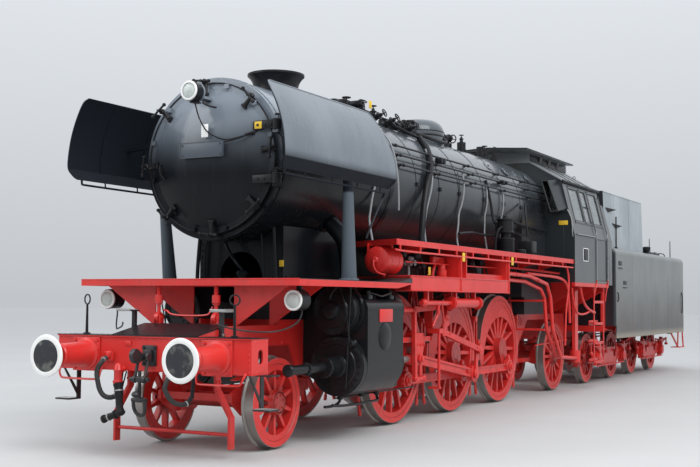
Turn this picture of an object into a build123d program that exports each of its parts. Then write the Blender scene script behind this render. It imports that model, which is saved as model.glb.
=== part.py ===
import os
from math import cos, hypot, radians, sin, sqrt

from build123d import *

os.makedirs("parts", exist_ok=True)

# Overall sizes in millimetres. A station is a distance behind the front buffer faces,
# and a height is measured from the floor under the wheel flanges.
length_over_buffers = 21325
flange_depth = 28
lead_diameter = 1000
driver_diameter = 1750
trail_diameter = 1250
tender_diameter = 1000
lead_station = 1900
driver_stations = (4900, 6900, 8900)
trail_station = 11800
tender_stations = (13950, 15850, 17625, 19525)

# Track and wheel section
back_to_back = 1360
tyre_width = 140
flange_width = 32
tyre_thickness = 70
rim_thickness = 65
wheel_inner = back_to_back / 2
wheel_outer = wheel_inner + tyre_width
axle_radius = 95
journal_radius = 65
running_gap = 0.5
side_gap = 6

# Cranks and rods
crank_throw = 330
crank_angle_left = -110
crank_angle_right = crank_angle_left - 90
crank_boss_radius = 120
crank_pin_radius = 65
crank_web_face = wheel_outer + 60
coupling_rod_inner = crank_web_face + 10
coupling_rod_width = 75
coupling_rod_outer = coupling_rod_inner + coupling_rod_width
crank_pin_end = coupling_rod_outer + 10
rod_eye_radius = 125
rod_bar_height = 118
main_rod_length = 2100
main_rod_width = 80
main_rod_middle = 1100
main_rod_inner = main_rod_middle - main_rod_width / 2
main_rod_outer = main_rod_middle + main_rod_width / 2
return_crank_throw = 148
return_crank_width = 34
eccentric_rod_width = 50
eccentric_rod_inner = main_rod_outer + return_crank_width + 6
eccentric_rod_outer = eccentric_rod_inner + eccentric_rod_width

# Frame
frame_inner = 545
frame_plate = 30
frame_outer = frame_inner + frame_plate
frame_top = 1450
frame_low = 640
frame_over_lead = 1150
frame_over_trail = 1345
frame_front = 690
frame_nose = 1285
nose_rear = 1240
frame_rear = 13200
beam_front = 650
beam_half_width = 1290
beam_low = 910
beam_top = 1270
buffer_height = 1078
buffer_half_spacing = 875
buffer_disc_radius = 225

# Boiler, running boards and cab
boiler_height = 3320
smokebox_radius = 952
smokebox_wall = 20
smokebox_front = 1750
smokebox_rear = 4600
boiler_radius = 940
boiler_rear = 9700
firebox_rear = 11300
firebox_half_width = 930
firebox_low = 1760
door_radius = 872
door_hinge_y = 925
door_hinge_station = 1668
deck_top = 1910
deck_plate = 20
deck_half_width = 1500
deck_front = 1230
deck_rear = 3600
valance = 75
valve_beam_front = 4020
valve_beam_rear = 7585
valve_beam_low = 1810
valve_beam_top = 2010
board_top = 2455
board_half_width = 1480
board_front = 3600
cab_front = 10970
cab_rear = 13210
cab_floor = 2040
cab_floor_thickness = 50
cab_waist = 2900
cab_gutter = 3920
cab_half_width = 1500
gutter_half_width = 1250
cab_wall = 30
rail_radius = 11
roof_shoulder = 4280
roof_shoulder_half = 640
roof_top = 4520
hood_front = 10350
door_front = 12400
door_rear = 13040
chimney_station = 3100
chimney_radius = 364
chimney_top = 4550
dome_station = 7380
dome_radius = 430
overall_height = 4578

# Cylinders
cylinder_y = 1100
cylinder_height = flange_depth + driver_diameter / 2
cylinder_radius = 340
cylinder_front = 2870
cylinder_rear = 3950
chest_height = 1560
chest_radius = 285
chest_flange = 322
casing_side = 1462
casing_round = casing_side - cylinder_y
casing_rear = 3830

# Tender
drawbar_station = 12950
tender_front = 13850
tender_rear = 20380
tank_half_width = 1475
tank_low = 1200
tank_skirt = 945
tank_top = 2810
tank_shoulder = 130
underframe_low = 1100
bunker_front = 13700
bunker_rear = 17100
bunker_half_width = 1210
bunker_top = 3990
bogie_centres = (14900, 18575)
bogie_frame_inner = 1000
bogie_frame_plate = 36
bogie_frame_outer = bogie_frame_inner + bogie_frame_plate

# Trucks
lead_pivot = 3700
trail_pivot = 9600
truck_plate_inner = 470
truck_plate_outer = 510
pivot_pin_radius = 60


def x_at(station):
    """The X coordinate of a station."""
    return length_over_buffers / 2 - station


def axle_height(diameter):
    """The height of an axle's centre for a tread diameter."""
    return flange_depth + diameter / 2


def side_plane(y, station=None, height=0):
    """An upright plane along the train at one Y, looking from the left, with its own centre."""
    x = 0 if station is None else x_at(station)
    return Plane(origin=(x, y, height), x_dir=(1, 0, 0), z_dir=(0, -1, 0))


def cross_plane(station):
    """An upright plane across the train, facing forward, with Y and Z as its own axes."""
    return Plane.YZ.offset(x_at(station))


def block(stations, widths, heights, mode=Mode.ADD):
    """A box between two stations, two Y values and two heights."""
    centre = (
        x_at(sum(stations) / 2),
        sum(widths) / 2,
        sum(heights) / 2,
    )
    with Locations(centre):
        Box(
            abs(stations[1] - stations[0]),
            abs(widths[1] - widths[0]),
            abs(heights[1] - heights[0]),
            mode=mode,
        )


def cross_rod(station, height, widths, radius, mode=Mode.ADD):
    """A round bar or hole across the train."""
    place = Location((x_at(station), sum(widths) / 2, height), (90, 0, 0))
    with Locations(place):
        Cylinder(radius, abs(widths[1] - widths[0]), mode=mode)


def long_rod(stations, y, height, radius, mode=Mode.ADD):
    """A round bar or hole along the train."""
    place = Location((x_at(sum(stations) / 2), y, height), (0, 90, 0))
    with Locations(place):
        Cylinder(radius, abs(stations[1] - stations[0]), mode=mode)


def post(station, y, heights, radius, mode=Mode.ADD):
    """An upright round bar or hole."""
    with Locations((x_at(station), y, sum(heights) / 2)):
        Cylinder(radius, abs(heights[1] - heights[0]), mode=mode)


def side_plate(points, widths, mode=Mode.ADD):
    """A plate whose side view runs through station and height points."""
    with BuildSketch(side_plane(max(widths))) as outline:
        with BuildLine():
            Polyline(*[(x_at(station), height) for station, height in points], close=True)
        make_face()
    extrude(outline.sketch, amount=abs(widths[1] - widths[0]), mode=mode)


def cross_plate(points, stations, mode=Mode.ADD):
    """A plate whose front view runs through Y and height points."""
    with BuildSketch(cross_plane(max(stations))) as outline:
        with BuildLine():
            Polyline(*points, close=True)
        make_face()
    extrude(outline.sketch, amount=abs(stations[1] - stations[0]), mode=mode)


def plan_plate(points, heights, mode=Mode.ADD):
    """A plate whose plan view runs through station and Y points."""
    with BuildSketch(Plane.XY.offset(min(heights))) as outline:
        with BuildLine():
            Polyline(*[(x_at(station), y) for station, y in points], close=True)
        make_face()
    extrude(outline.sketch, amount=abs(heights[1] - heights[0]), mode=mode)


def rod_bar(start, end, widths, height, mode=Mode.ADD):
    """A flat bar between two station and height points, of one depth in side view."""
    run = hypot(end[0] - start[0], end[1] - start[1])
    across = (
        (end[1] - start[1]) / run * height / 2,
        -(end[0] - start[0]) / run * height / 2,
    )
    corners = [
        (start[0] + across[0], start[1] + across[1]),
        (end[0] + across[0], end[1] + across[1]),
        (end[0] - across[0], end[1] - across[1]),
        (start[0] - across[0], start[1] - across[1]),
    ]
    side_plate(corners, widths, mode)


def pipe(points, radius, bend):
    """A round pipe through station, Y and height points, with one bend radius."""
    with BuildLine() as route:
        corners = [(x_at(station), y, height) for station, y, height in points]
        if len(corners) > 2:
            FilletPolyline(*corners, radius=bend)
        else:
            Line(*corners)
    with BuildSketch(Plane(origin=route.line @ 0, z_dir=route.line % 0)) as section:
        Circle(radius)
    sweep(section.sketch, path=route.line)


def crank_pin(station, angle, throw=crank_throw):
    """The station and height of a crank pin on a driving axle."""
    return (
        station - throw * cos(radians(angle)),
        axle_height(driver_diameter) + throw * sin(radians(angle)),
    )


def add_wheel(station, diameter, side, hub_radius, hub_face, spokes, start_angle):
    """A spoked wheel with its tyre and flange, on the side given as 1 or -1."""
    height = axle_height(diameter)
    tread = diameter / 2
    rim = tread - tyre_thickness - rim_thickness
    axis = Axis((x_at(station), 0, height), (0, 1, 0))
    section = [
        (wheel_inner, rim),
        (wheel_inner, tread + flange_depth - 8),
        (wheel_inner + 8, tread + flange_depth),
        (wheel_inner + 20, tread + flange_depth),
        (wheel_inner + flange_width, tread),
        (wheel_outer, tread),
        (wheel_outer, tread - tyre_thickness + 10),
        (wheel_outer - 12, tread - tyre_thickness),
        (wheel_outer - 12, rim),
    ]
    with BuildSketch(Plane.YZ.offset(x_at(station))) as tyre:
        with BuildLine():
            Polyline(*[(side * y, height + r) for y, r in section], close=True)
        make_face()
    revolve(tyre.sketch, axis=axis)
    cross_rod(station, height, (side * wheel_inner, side * hub_face), hub_radius)
    spoke_inner = hub_radius - 10
    spoke_outer = rim + 12
    middle = (spoke_inner + spoke_outer) / 2
    half = (spoke_outer - spoke_inner) / 2
    root_width = 0.42 * hub_radius
    tip_width = 0.62 * root_width
    spoke_y = (side * (wheel_inner + 34), side * (wheel_outer - 30))
    with BuildSketch(side_plane(max(spoke_y), station, height)) as spoke:
        with PolarLocations(middle, spokes, start_angle=start_angle):
            Polygon(
                (-half, -root_width / 2),
                (half, -tip_width / 2),
                (half, tip_width / 2),
                (-half, root_width / 2),
            )
    extrude(spoke.sketch, amount=abs(spoke_y[1] - spoke_y[0]))


def add_crank(station, side, angle, crescent):
    """The crank boss, its pin and the crescent balance weight of a driving wheel."""
    height = axle_height(driver_diameter)
    rim = driver_diameter / 2 - tyre_thickness - rim_thickness
    pin_station, pin_height = crank_pin(station, angle)
    boss_low = side * (wheel_inner + 40)
    boss_high = side * crank_web_face
    with BuildSketch(side_plane(max(boss_low, boss_high), station, height)) as web:
        Circle(crank_boss_radius + 40)
        with Locations((x_at(pin_station) - x_at(station), pin_height - height)):
            Circle(crank_boss_radius)
        make_hull()
    extrude(web.sketch, amount=abs(boss_high - boss_low))
    pin_run = (side * (wheel_inner + 60), side * crank_pin_end)
    cross_rod(pin_station, pin_height, pin_run, crank_pin_radius)
    collar_run = (side * crank_web_face, side * (crank_web_face + 4))
    cross_rod(pin_station, pin_height, collar_run, crank_pin_radius + 20)
    weight_low = side * (wheel_inner + 24)
    weight_high = side * (wheel_outer - 18)
    away = radians(angle)
    with BuildSketch(side_plane(max(weight_low, weight_high), station, height)) as weight:
        Circle(rim + 10)
        with Locations((crescent * cos(away), crescent * sin(away))):
            Circle(rim + 40, mode=Mode.SUBTRACT)
    extrude(weight.sketch, amount=abs(weight_high - weight_low))


# Driving wheelsets: axle, two spoked wheels with crank pins quartered, balance weights
hub_face_driver = wheel_outer + 62
crescents = (280, 350, 280)
for number, (station, crescent) in enumerate(zip(driver_stations, crescents), start=1):
    with BuildPart() as driver:
        height = axle_height(driver_diameter)
        cross_rod(station, height, (-wheel_inner, wheel_inner), axle_radius)
        for side, angle in ((1, crank_angle_left), (-1, crank_angle_right)):
            add_wheel(station, driver_diameter, side, 170, hub_face_driver - 4, 16, angle)
            add_crank(station, side, angle, crescent)
    driver.part.label = f"driver_{number}"
    export_step(driver.part, f"parts/driver_{number}.step")

# Leading and trailing wheelsets with inside journals
carrying_axles = (
    # name, station, diameter, hub radius, spokes
    ("lead_wheelset", lead_station, lead_diameter, 130, 10),
    ("trail_wheelset", trail_station, trail_diameter, 140, 12),
)
for name, station, diameter, hub_radius, spokes in carrying_axles:
    with BuildPart() as wheelset:
        height = axle_height(diameter)
        cross_rod(station, height, (-wheel_inner, wheel_inner), axle_radius - 10)
        for side in (1, -1):
            add_wheel(station, diameter, side, hub_radius, wheel_outer + 30, spokes, 90)
    wheelset.part.label = name
    export_step(wheelset.part, f"parts/{name}.step")

# Tender wheelsets with outside journals
axlebox_outer = bogie_frame_outer + 90
journal_end = axlebox_outer - 20
for number, station in enumerate(tender_stations, start=1):
    with BuildPart() as wheelset:
        height = axle_height(tender_diameter)
        cross_rod(station, height, (-wheel_inner, wheel_inner), axle_radius)
        cross_rod(station, height, (-journal_end, journal_end), journal_radius)
        for side in (1, -1):
            add_wheel(station, tender_diameter, side, 130, wheel_outer + 30, 10, 90)
    wheelset.part.label = f"tender_wheelset_{number}"
    export_step(wheelset.part, f"parts/tender_wheelset_{number}.step")

# Coupling rods: an eye on each crank pin and fluted bars between them
rod_bore = crank_pin_radius + running_gap
for name, side, angle in (("left", 1, crank_angle_left), ("right", -1, crank_angle_right)):
    with BuildPart() as coupling_rods:
        run = (side * coupling_rod_inner, side * coupling_rod_outer)
        bar_run = (side * (coupling_rod_inner + 12), side * (coupling_rod_outer - 12))
        flute_run = (side * (coupling_rod_outer - 28), side * coupling_rod_outer)
        pins = [crank_pin(station, angle) for station in driver_stations]
        for start, end in zip(pins, pins[1:]):
            rod_bar(start, end, bar_run, rod_bar_height)
            inset = rod_eye_radius + 45
            flute_start = (start[0] + inset, start[1])
            flute_end = (end[0] - inset, end[1])
            rod_bar(flute_start, flute_end, flute_run, rod_bar_height - 56, Mode.SUBTRACT)
        for station, height in pins:
            cross_rod(station, height, run, rod_eye_radius)
            block((station - 45, station + 45), bar_run, (height + 90, height + 165))
        knuckle_station = pins[1][0] + rod_eye_radius + 115
        cross_rod(knuckle_station, pins[1][1], run, 78)
        for station, height in pins:
            cross_rod(station, height, run, rod_bore, Mode.SUBTRACT)
    coupling_rods.part.label = f"coupling_rods_{name}"
    export_step(coupling_rods.part, f"parts/coupling_rods_{name}.step")

# Main frame: two plates with axle slots and lightening holes, and cross stretchers
stretchers = (
    # front station, rear station, low height, high height
    (frame_front, frame_front + 260, frame_over_lead + 20, frame_nose - 10),
    (nose_rear, frame_front + 640, frame_top - 75, frame_top - 60),
    (3050, 3900, 800, frame_top),
    (5700, 6060, 700, frame_top - 60),
    (7700, 8060, 700, frame_top - 60),
    (9350, 9780, 720, frame_top - 60),
    (12750, frame_rear, 930, frame_top),
)
with BuildPart() as main_frame:
    plate_outline = [
        (frame_front, frame_over_lead),
        (frame_front, frame_nose),
        (nose_rear, frame_top - 60),
        (2300, frame_top - 60),
        (2300, frame_top),
        (10900, frame_top),
        (frame_rear, frame_top),
        (frame_rear, 930),
        (12750, 930),
        (12620, frame_over_trail),
        (11000, frame_over_trail),
        (10500, 900),
        (9900, frame_low + 60),
        (9400, frame_low),
        (4200, frame_low),
        (3900, 800),
        (2750, 800),
        (2560, frame_over_lead),
    ]
    side_plate(plate_outline, (frame_inner, frame_outer))
    slot_half = 190
    for station in driver_stations:
        axle = axle_height(driver_diameter)
        slot = (station - slot_half, station + slot_half)
        block(slot, (frame_inner, frame_outer), (frame_low, axle + 200), Mode.SUBTRACT)
    holes = (
        # station, height, radius
        (5900, 1190, 150),
        (7900, 1190, 150),
        (10150, 1200, 130),
        (10600, 1260, 90),
        (4480, 1290, 80),
        (1150, 1270, 70),
        (3200, 1250, 90),
    )
    for station, height, radius in holes:
        cross_rod(station, height, (frame_inner, frame_outer), radius, Mode.SUBTRACT)
    mirror(about=Plane.XZ)
    for first, last, low, high in stretchers:
        block((first, last), (-frame_inner, frame_inner), (low, high))
        if last - first > 200:
            pocket = (first + 40, last - 40)
            block(pocket, (-frame_inner + 60, frame_inner - 60), (low, high - 40), Mode.SUBTRACT)
    for station, low, top in ((lead_pivot, 440, 860), (trail_pivot, 440, 780)):
        post(station, 0, (top, frame_top - 60), 200)
        post(station, 0, (low, top), pivot_pin_radius)
    # The drag box is slotted for the drawbar, which turns on its pin.
    jaw = (drawbar_station - 90, frame_rear)
    block(jaw, (-frame_inner + 60, frame_inner - 60), (930, frame_top - 40))
    block(jaw, (-frame_inner + 60, frame_inner - 60), (1020, 1150), Mode.SUBTRACT)
    post(drawbar_station, 0, (1020, 1150), 45)
main_frame.part.label = "main_frame"
export_step(main_frame.part, "parts/main_frame.step")

# Driving axleboxes in the frame slots
with BuildPart() as axleboxes:
    axle = axle_height(driver_diameter)
    for station in driver_stations:
        box = (station - slot_half, station + slot_half)
        block(box, (frame_inner - 60, frame_outer + 40), (axle - 180, axle + 200))
        cross_rod(station, axle, (frame_inner - 60, frame_outer + 40), axle_radius + 1, Mode.SUBTRACT)
        slot = (station - slot_half, station + slot_half)
        block(slot, (frame_inner, frame_outer), (frame_low, frame_low + 50))
        for offset in (-140, 140):
            post(station + offset, (frame_inner + frame_outer) / 2, (frame_low + 50, axle - 180), 14)
    mirror(about=Plane.XZ)
axleboxes.part.label = "axleboxes"
export_step(axleboxes.part, "parts/axleboxes.step")

# Front buffer beam: a front plate with closed box ends, and a thin cap along its top
beam_box_rear = 960
with BuildPart() as buffer_beam:
    block((beam_front, frame_front), (-beam_half_width, beam_half_width), (beam_low, beam_top))
    cap_top = beam_top + 12
    block((beam_front - 20, frame_front), (-beam_half_width, beam_half_width), (beam_top, cap_top))
    for side in (1, -1):
        end_plate = (side * (beam_half_width - 18), side * beam_half_width)
        block((frame_front, beam_box_rear), end_plate, (beam_low, beam_top))
        block((frame_front, beam_box_rear), (side * frame_outer, end_plate[0]), (beam_top - 12, beam_top))
        block((frame_front, beam_box_rear), (side * frame_outer, end_plate[1]), (beam_top, cap_top))
        with BuildSketch(side_plane(side * beam_half_width, 820, 1095)) as eye:
            SlotCenterToCenter(60, 90, rotation=90)
        extrude(eye.sketch, amount=40, both=True, mode=Mode.SUBTRACT)
buffer_beam.part.label = "buffer_beam"
export_step(buffer_beam.part, "parts/buffer_beam.step")


def add_buffer(face_station, beam_station, side):
    """A buffer with its flat disc, plunger, socket and flange on the beam."""
    reach = abs(beam_station - face_station)
    way = 1 if beam_station > face_station else -1
    section = [
        (0, 0),
        (0, buffer_disc_radius),
        (28, buffer_disc_radius),
        (60, 80),
        (190, 78),
        (190, 118),
        (240, 128),
        (reach - 130, 132),
        (reach - 30, 175),
        (reach, 175),
        (reach, 0),
    ]
    centre = Axis((0, side * buffer_half_spacing, buffer_height), (1, 0, 0))
    upright = Plane(origin=(0, side * buffer_half_spacing, 0), x_dir=(1, 0, 0), z_dir=(0, -1, 0))
    with BuildSketch(upright) as outline:
        with BuildLine():
            points = [(x_at(face_station + way * run), buffer_height + r) for run, r in section]
            Polyline(*points, close=True)
        make_face()
    revolve(outline.sketch, axis=centre)


with BuildPart() as front_buffers:
    for side in (1, -1):
        add_buffer(0, beam_front, side)
front_buffers.part.label = "front_buffers"
export_step(front_buffers.part, "parts/front_buffers.step")


def add_coupling(beam_station, way):
    """A draw hook with its screw coupling hanging from it, away from the beam."""
    hook = [
        (0, buffer_height - 55),
        (0, buffer_height + 55),
        (150, buffer_height + 40),
        (210, buffer_height + 95),
        (300, buffer_height + 90),
        (330, buffer_height + 20),
        (300, buffer_height - 50),
        (200, buffer_height - 75),
    ]
    side_plate([(beam_station - way * run, z) for run, z in hook], (-28, 28))
    cross_rod(beam_station - way * 235, buffer_height + 20, (-28, 28), 34, Mode.SUBTRACT)
    cross_rod(beam_station - way * 110, buffer_height - 10, (-60, 60), 24)
    for y in (-50, 50):
        run = [
            (beam_station - way * 110, buffer_height - 10),
            (beam_station - way * 150, buffer_height - 230),
        ]
        rod_bar(run[0], run[1], (y - 12, y + 12), 40)
    cross_rod(beam_station - way * 150, buffer_height - 235, (-110, 110), 26)
    for y in (-70, 70):
        run = [
            (beam_station - way * 150, buffer_height - 235),
            (beam_station - way * 130, buffer_height - 470),
        ]
        rod_bar(run[0], run[1], (y - 14, y + 14), 34)
    cross_rod(beam_station - way * 130, buffer_height - 475, (-84, 84), 24)


with BuildPart() as front_coupling:
    add_coupling(beam_front, 1)
front_coupling.part.label = "front_coupling"
export_step(front_coupling.part, "parts/front_coupling.step")


def add_hose(beam_station, way, y, drop, radius):
    """A brake or heating hose held at both ends under the beam."""
    top = beam_low
    route = [
        (beam_station + way * 20, y, top),
        (beam_station + way * 20, y, top - 60),
        (beam_station - way * 130, y, top - 90),
        (beam_station - way * 150, y, top - drop),
        (beam_station - way * 60, y + 70, top - drop - 110),
        (beam_station + way * 20, y + 150, top - drop + 40),
        (beam_station + way * 20, y + 150, top),
    ]
    pipe(route, radius, 38)


with BuildPart() as front_hoses:
    for y, drop, radius in ((330, 260, 26), (-480, 260, 26), (-260, 300, 30)):
        add_hose(beam_front, 1, y, drop, radius)
front_hoses.part.label = "front_hoses"
export_step(front_hoses.part, "parts/front_hoses.step")

# Front deck over the cylinders: plate, valance, cross beams down to the frame
saddle_front = 2350
saddle_rear = 3950
saddle_half = 600
with BuildPart() as front_deck:
    block((deck_front, deck_rear), (-deck_half_width, deck_half_width), (deck_top - deck_plate, deck_top))
    for side in (1, -1):
        edge = (side * (deck_half_width - 16), side * deck_half_width)
        outline = [
            (deck_front, deck_top - valance),
            (deck_front, deck_top - deck_plate),
            (deck_rear, deck_top - deck_plate),
            (deck_rear, deck_top),
            (valve_beam_front, valve_beam_top - 40),
            (valve_beam_front, valve_beam_top - 40 - valance),
            (deck_rear, deck_top - valance),
        ]
        side_plate(outline, edge)
        ramp = [
            (deck_rear, deck_top - deck_plate),
            (deck_rear, deck_top),
            (valve_beam_front, valve_beam_top - 40),
            (valve_beam_front, valve_beam_top - 40 - deck_plate),
        ]
        side_plate(ramp, (side * (saddle_half + 20), side * (deck_half_width - 16)))
    lip = (deck_top - valance, deck_top - deck_plate)
    block((deck_front, deck_front + 16), (-deck_half_width, deck_half_width), lip)
    sheet = (deck_top - deck_plate, deck_top)
    block((saddle_front, saddle_rear), (-saddle_half, saddle_half), sheet, Mode.SUBTRACT)
    for station in (1420, 2150):
        block((station, station + 16), (-deck_half_width + 16, deck_half_width - 16), lip)
        for side in (1, -1):
            bracket = [
                (side * frame_inner, frame_top - 60),
                (side * frame_outer, frame_top - 60),
                (side * (deck_half_width - 250), deck_top - valance),
                (side * frame_inner, deck_top - valance),
            ]
            cross_plate(bracket, (station, station + 16))
    # Two screwed struts stand on the frame cover and carry the front of the deck.
    strut_rows = (
        # low, high, radius
        (frame_top - 60, deck_top - deck_plate, 22),
        (1640, 1730, 46),
        (frame_top - 60, 1435, 44),
    )
    for y in (-395, 395):
        for low, high, radius in strut_rows:
            post(1290, y, (low, high), radius)
front_deck.part.label = "front_deck"
export_step(front_deck.part, "parts/front_deck.step")

# Smokebox saddle: a box from the frame to the smokebox with an arched opening in front
with BuildPart() as smokebox_saddle:
    saddle_outline = [
        (-saddle_half, frame_top),
        (saddle_half, frame_top),
        (saddle_half, 2560),
        (-saddle_half, 2560),
    ]
    cross_plate(saddle_outline, (saddle_front, saddle_rear))
    inside = [
        (-saddle_half + 40, frame_top),
        (saddle_half - 40, frame_top),
        (saddle_half - 40, 2560),
        (-saddle_half + 40, 2560),
    ]
    cross_plate(inside, (saddle_front + 40, saddle_rear - 40), Mode.SUBTRACT)
    with BuildSketch(cross_plane(saddle_front + 40)) as arch:
        with Locations((0, 1960)):
            Circle(300)
        with Locations((0, 1805)):
            Rectangle(600, 310)
    extrude(arch.sketch, amount=40, mode=Mode.SUBTRACT)
    long_rod((saddle_front - 50, saddle_rear + 50), 0, boiler_height, smokebox_radius, Mode.SUBTRACT)
smokebox_saddle.part.label = "smokebox_saddle"
export_step(smokebox_saddle.part, "parts/smokebox_saddle.step")

# Smokebox: a drum with its front ring, the door opening and the hinge lugs
front_plate = 40
ring_depth = 70
inner_radius = smokebox_radius - smokebox_wall
door_opening = door_radius - 60
with BuildPart() as smokebox:
    long_rod((smokebox_front, smokebox_rear), 0, boiler_height, smokebox_radius)
    hollow = (smokebox_front + front_plate, smokebox_rear - 60)
    long_rod(hollow, 0, boiler_height, inner_radius, Mode.SUBTRACT)
    long_rod((smokebox_front, smokebox_front + front_plate), 0, boiler_height, door_opening, Mode.SUBTRACT)
    long_rod((smokebox_rear - 90, smokebox_rear), 0, boiler_height, smokebox_radius + 8)
    ring = (smokebox_front + ring_depth, smokebox_front + ring_depth + 30)
    long_rod(ring, 0, boiler_height, smokebox_radius + 8)
    long_rod(hollow, 0, boiler_height, inner_radius, Mode.SUBTRACT)
    post(chimney_station, 0, (boiler_height, boiler_height + 1200), 230, Mode.SUBTRACT)
    # Two pairs of lugs hold the door's hinge knuckles.
    for height in (boiler_height - 280, boiler_height + 330):
        for low, high in ((height - 95, height - 47), (height + 47, height + 95)):
            lug = (door_hinge_y - 35, door_hinge_y + 35)
            block((door_hinge_station - 40, smokebox_front), lug, (low, high))
smokebox.part.label = "smokebox"
export_step(smokebox.part, "parts/smokebox.step")

# Smokebox door: a dished plate with a flat rim, hinge straps, knuckles, dogs and lamp
door_rim = 40
door_rise = 190
door_back = smokebox_front
door_face = door_back - door_rim
with BuildPart() as smokebox_door:
    upright = Plane(origin=(0, 0, 0), x_dir=(1, 0, 0), z_dir=(0, -1, 0))
    with BuildSketch(upright) as dish:
        with BuildLine():
            rim_low = (x_at(door_back), boiler_height + door_radius)
            rim_high = (x_at(door_face), boiler_height + door_radius)
            foot = (x_at(door_face), boiler_height + door_radius - 60)
            crown = (x_at(door_face - door_rise), boiler_height + 60)
            knee = (x_at(door_face - 0.72 * door_rise), boiler_height + 0.5 * door_radius)
            Line(rim_low, rim_high)
            Line(rim_high, foot)
            ThreePointArc(foot, knee, crown)
            Line(crown, (x_at(door_face - door_rise), boiler_height))
            Line((x_at(door_face - door_rise), boiler_height), (x_at(door_back), boiler_height))
            Line((x_at(door_back), boiler_height), rim_low)
        make_face()
    revolve(dish.sketch, axis=Axis((0, 0, boiler_height), (1, 0, 0)))
    for height in (boiler_height - 280, boiler_height + 330):
        strap = (door_hinge_station - 18, door_hinge_station + 18)
        block(strap, (120, door_hinge_y), (height - 42, height + 42))
        post(door_hinge_station, door_hinge_y, (height - 42, height + 42), 34)
    dogs = 12
    for number in range(dogs):
        angle = radians(360 / dogs * number + 15)
        y = (door_radius - 20) * cos(angle)
        z = boiler_height + (door_radius - 20) * sin(angle)
        block((door_face - 34, door_face), (y - 26, y + 26), (z - 26, z + 26))
    block((1400, 1660), (-30, 30), (3980, 4020))
    long_rod((1260, 1430), 0, 4040, 108)
smokebox_door.part.label = "smokebox_door"
export_step(smokebox_door.part, "parts/smokebox_door.step")

# Chimney: a short flared casting seated on the drum
with BuildPart() as chimney:
    with BuildSketch(side_plane(0, chimney_station, 0)) as flare:
        with BuildLine():
            Line((210, 4000), (320, 4000))
            Line((320, 4000), (292, 4300))
            ThreePointArc((292, 4300), (305, 4450), (chimney_radius, chimney_top - 25))
            Line((chimney_radius, chimney_top - 25), (chimney_radius, chimney_top))
            Line((chimney_radius, chimney_top), (300, chimney_top))
            Line((300, chimney_top), (210, 4300))
            Line((210, 4300), (210, 4000))
        make_face()
    revolve(flare.sketch, axis=Axis((x_at(chimney_station), 0, 0), (0, 0, 1)))
    drum = (chimney_station - 600, chimney_station + 600)
    long_rod(drum, 0, boiler_height, smokebox_radius, Mode.SUBTRACT)
chimney.part.label = "chimney"
export_step(chimney.part, "parts/chimney.step")

# Boiler barrel with its clothing bands
band_stations = (5350, 6150, 6880, 7900, 8800, 9640)
with BuildPart() as boiler_barrel:
    long_rod((smokebox_rear, boiler_rear), 0, boiler_height, boiler_radius)
    for station in band_stations:
        long_rod((station - 30, station + 30), 0, boiler_height, boiler_radius + 6)
boiler_barrel.part.label = "boiler_barrel"
export_step(boiler_barrel.part, "parts/boiler_barrel.step")

# Firebox wrapper: round on top, straight sided below, running back into the cab
with BuildPart() as firebox:
    with BuildSketch(cross_plane(firebox_rear)) as wrapper:
        with BuildLine():
            ThreePointArc(
                (boiler_radius, boiler_height),
                (0, boiler_height + boiler_radius),
                (-boiler_radius, boiler_height),
            )
            Polyline(
                (-boiler_radius, boiler_height),
                (-firebox_half_width, 2300),
                (-firebox_half_width, firebox_low),
                (firebox_half_width, firebox_low),
                (firebox_half_width, 2300),
                (boiler_radius, boiler_height),
            )
        make_face()
    extrude(wrapper.sketch, amount=firebox_rear - boiler_rear)
firebox.part.label = "firebox"
export_step(firebox.part, "parts/firebox.step")

# Ashpan below the firebox, between and beside the frame plates
with BuildPart() as ashpan:
    pan = [(9830, firebox_low), (10930, firebox_low), (10930, 1460), (9830, 1460)]
    side_plate(pan, (-firebox_half_width, firebox_half_width))
    hopper = [(9830, 1460), (10930, 1460), (10930, 1360), (10450, 960), (9830, 960)]
    side_plate(hopper, (-frame_inner, frame_inner))
ashpan.part.label = "ashpan"
export_step(ashpan.part, "parts/ashpan.step")

# Boiler carriers: waist sheets from the frame up to the barrel
with BuildPart() as boiler_carriers:
    for station in (5760, 7500):
        outline = [(-540, frame_top), (540, frame_top), (430, 2700), (-430, 2700)]
        cross_plate(outline, (station, station + 24))
    long_rod((5000, 9000), 0, boiler_height, boiler_radius, Mode.SUBTRACT)
boiler_carriers.part.label = "boiler_carriers"
export_step(boiler_carriers.part, "parts/boiler_carriers.step")

# Steam dome and the valve cluster ahead of it
with BuildPart() as steam_dome:
    with BuildSketch(side_plane(0, dome_station, 0)) as section:
        with BuildLine():
            Line((0, 4000), (dome_radius, 4000))
            Line((dome_radius, 4000), (dome_radius, 4380))
            ThreePointArc((dome_radius, 4380), (dome_radius - 75, 4525), (dome_radius - 230, overall_height))
            Line((dome_radius - 230, overall_height), (0, overall_height))
            Line((0, overall_height), (0, 4000))
        make_face()
    revolve(section.sketch, axis=Axis((x_at(dome_station), 0, 0), (0, 0, 1)))
    long_rod((6500, 8300), 0, boiler_height, boiler_radius, Mode.SUBTRACT)
steam_dome.part.label = "steam_dome"
export_step(steam_dome.part, "parts/steam_dome.step")

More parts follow.
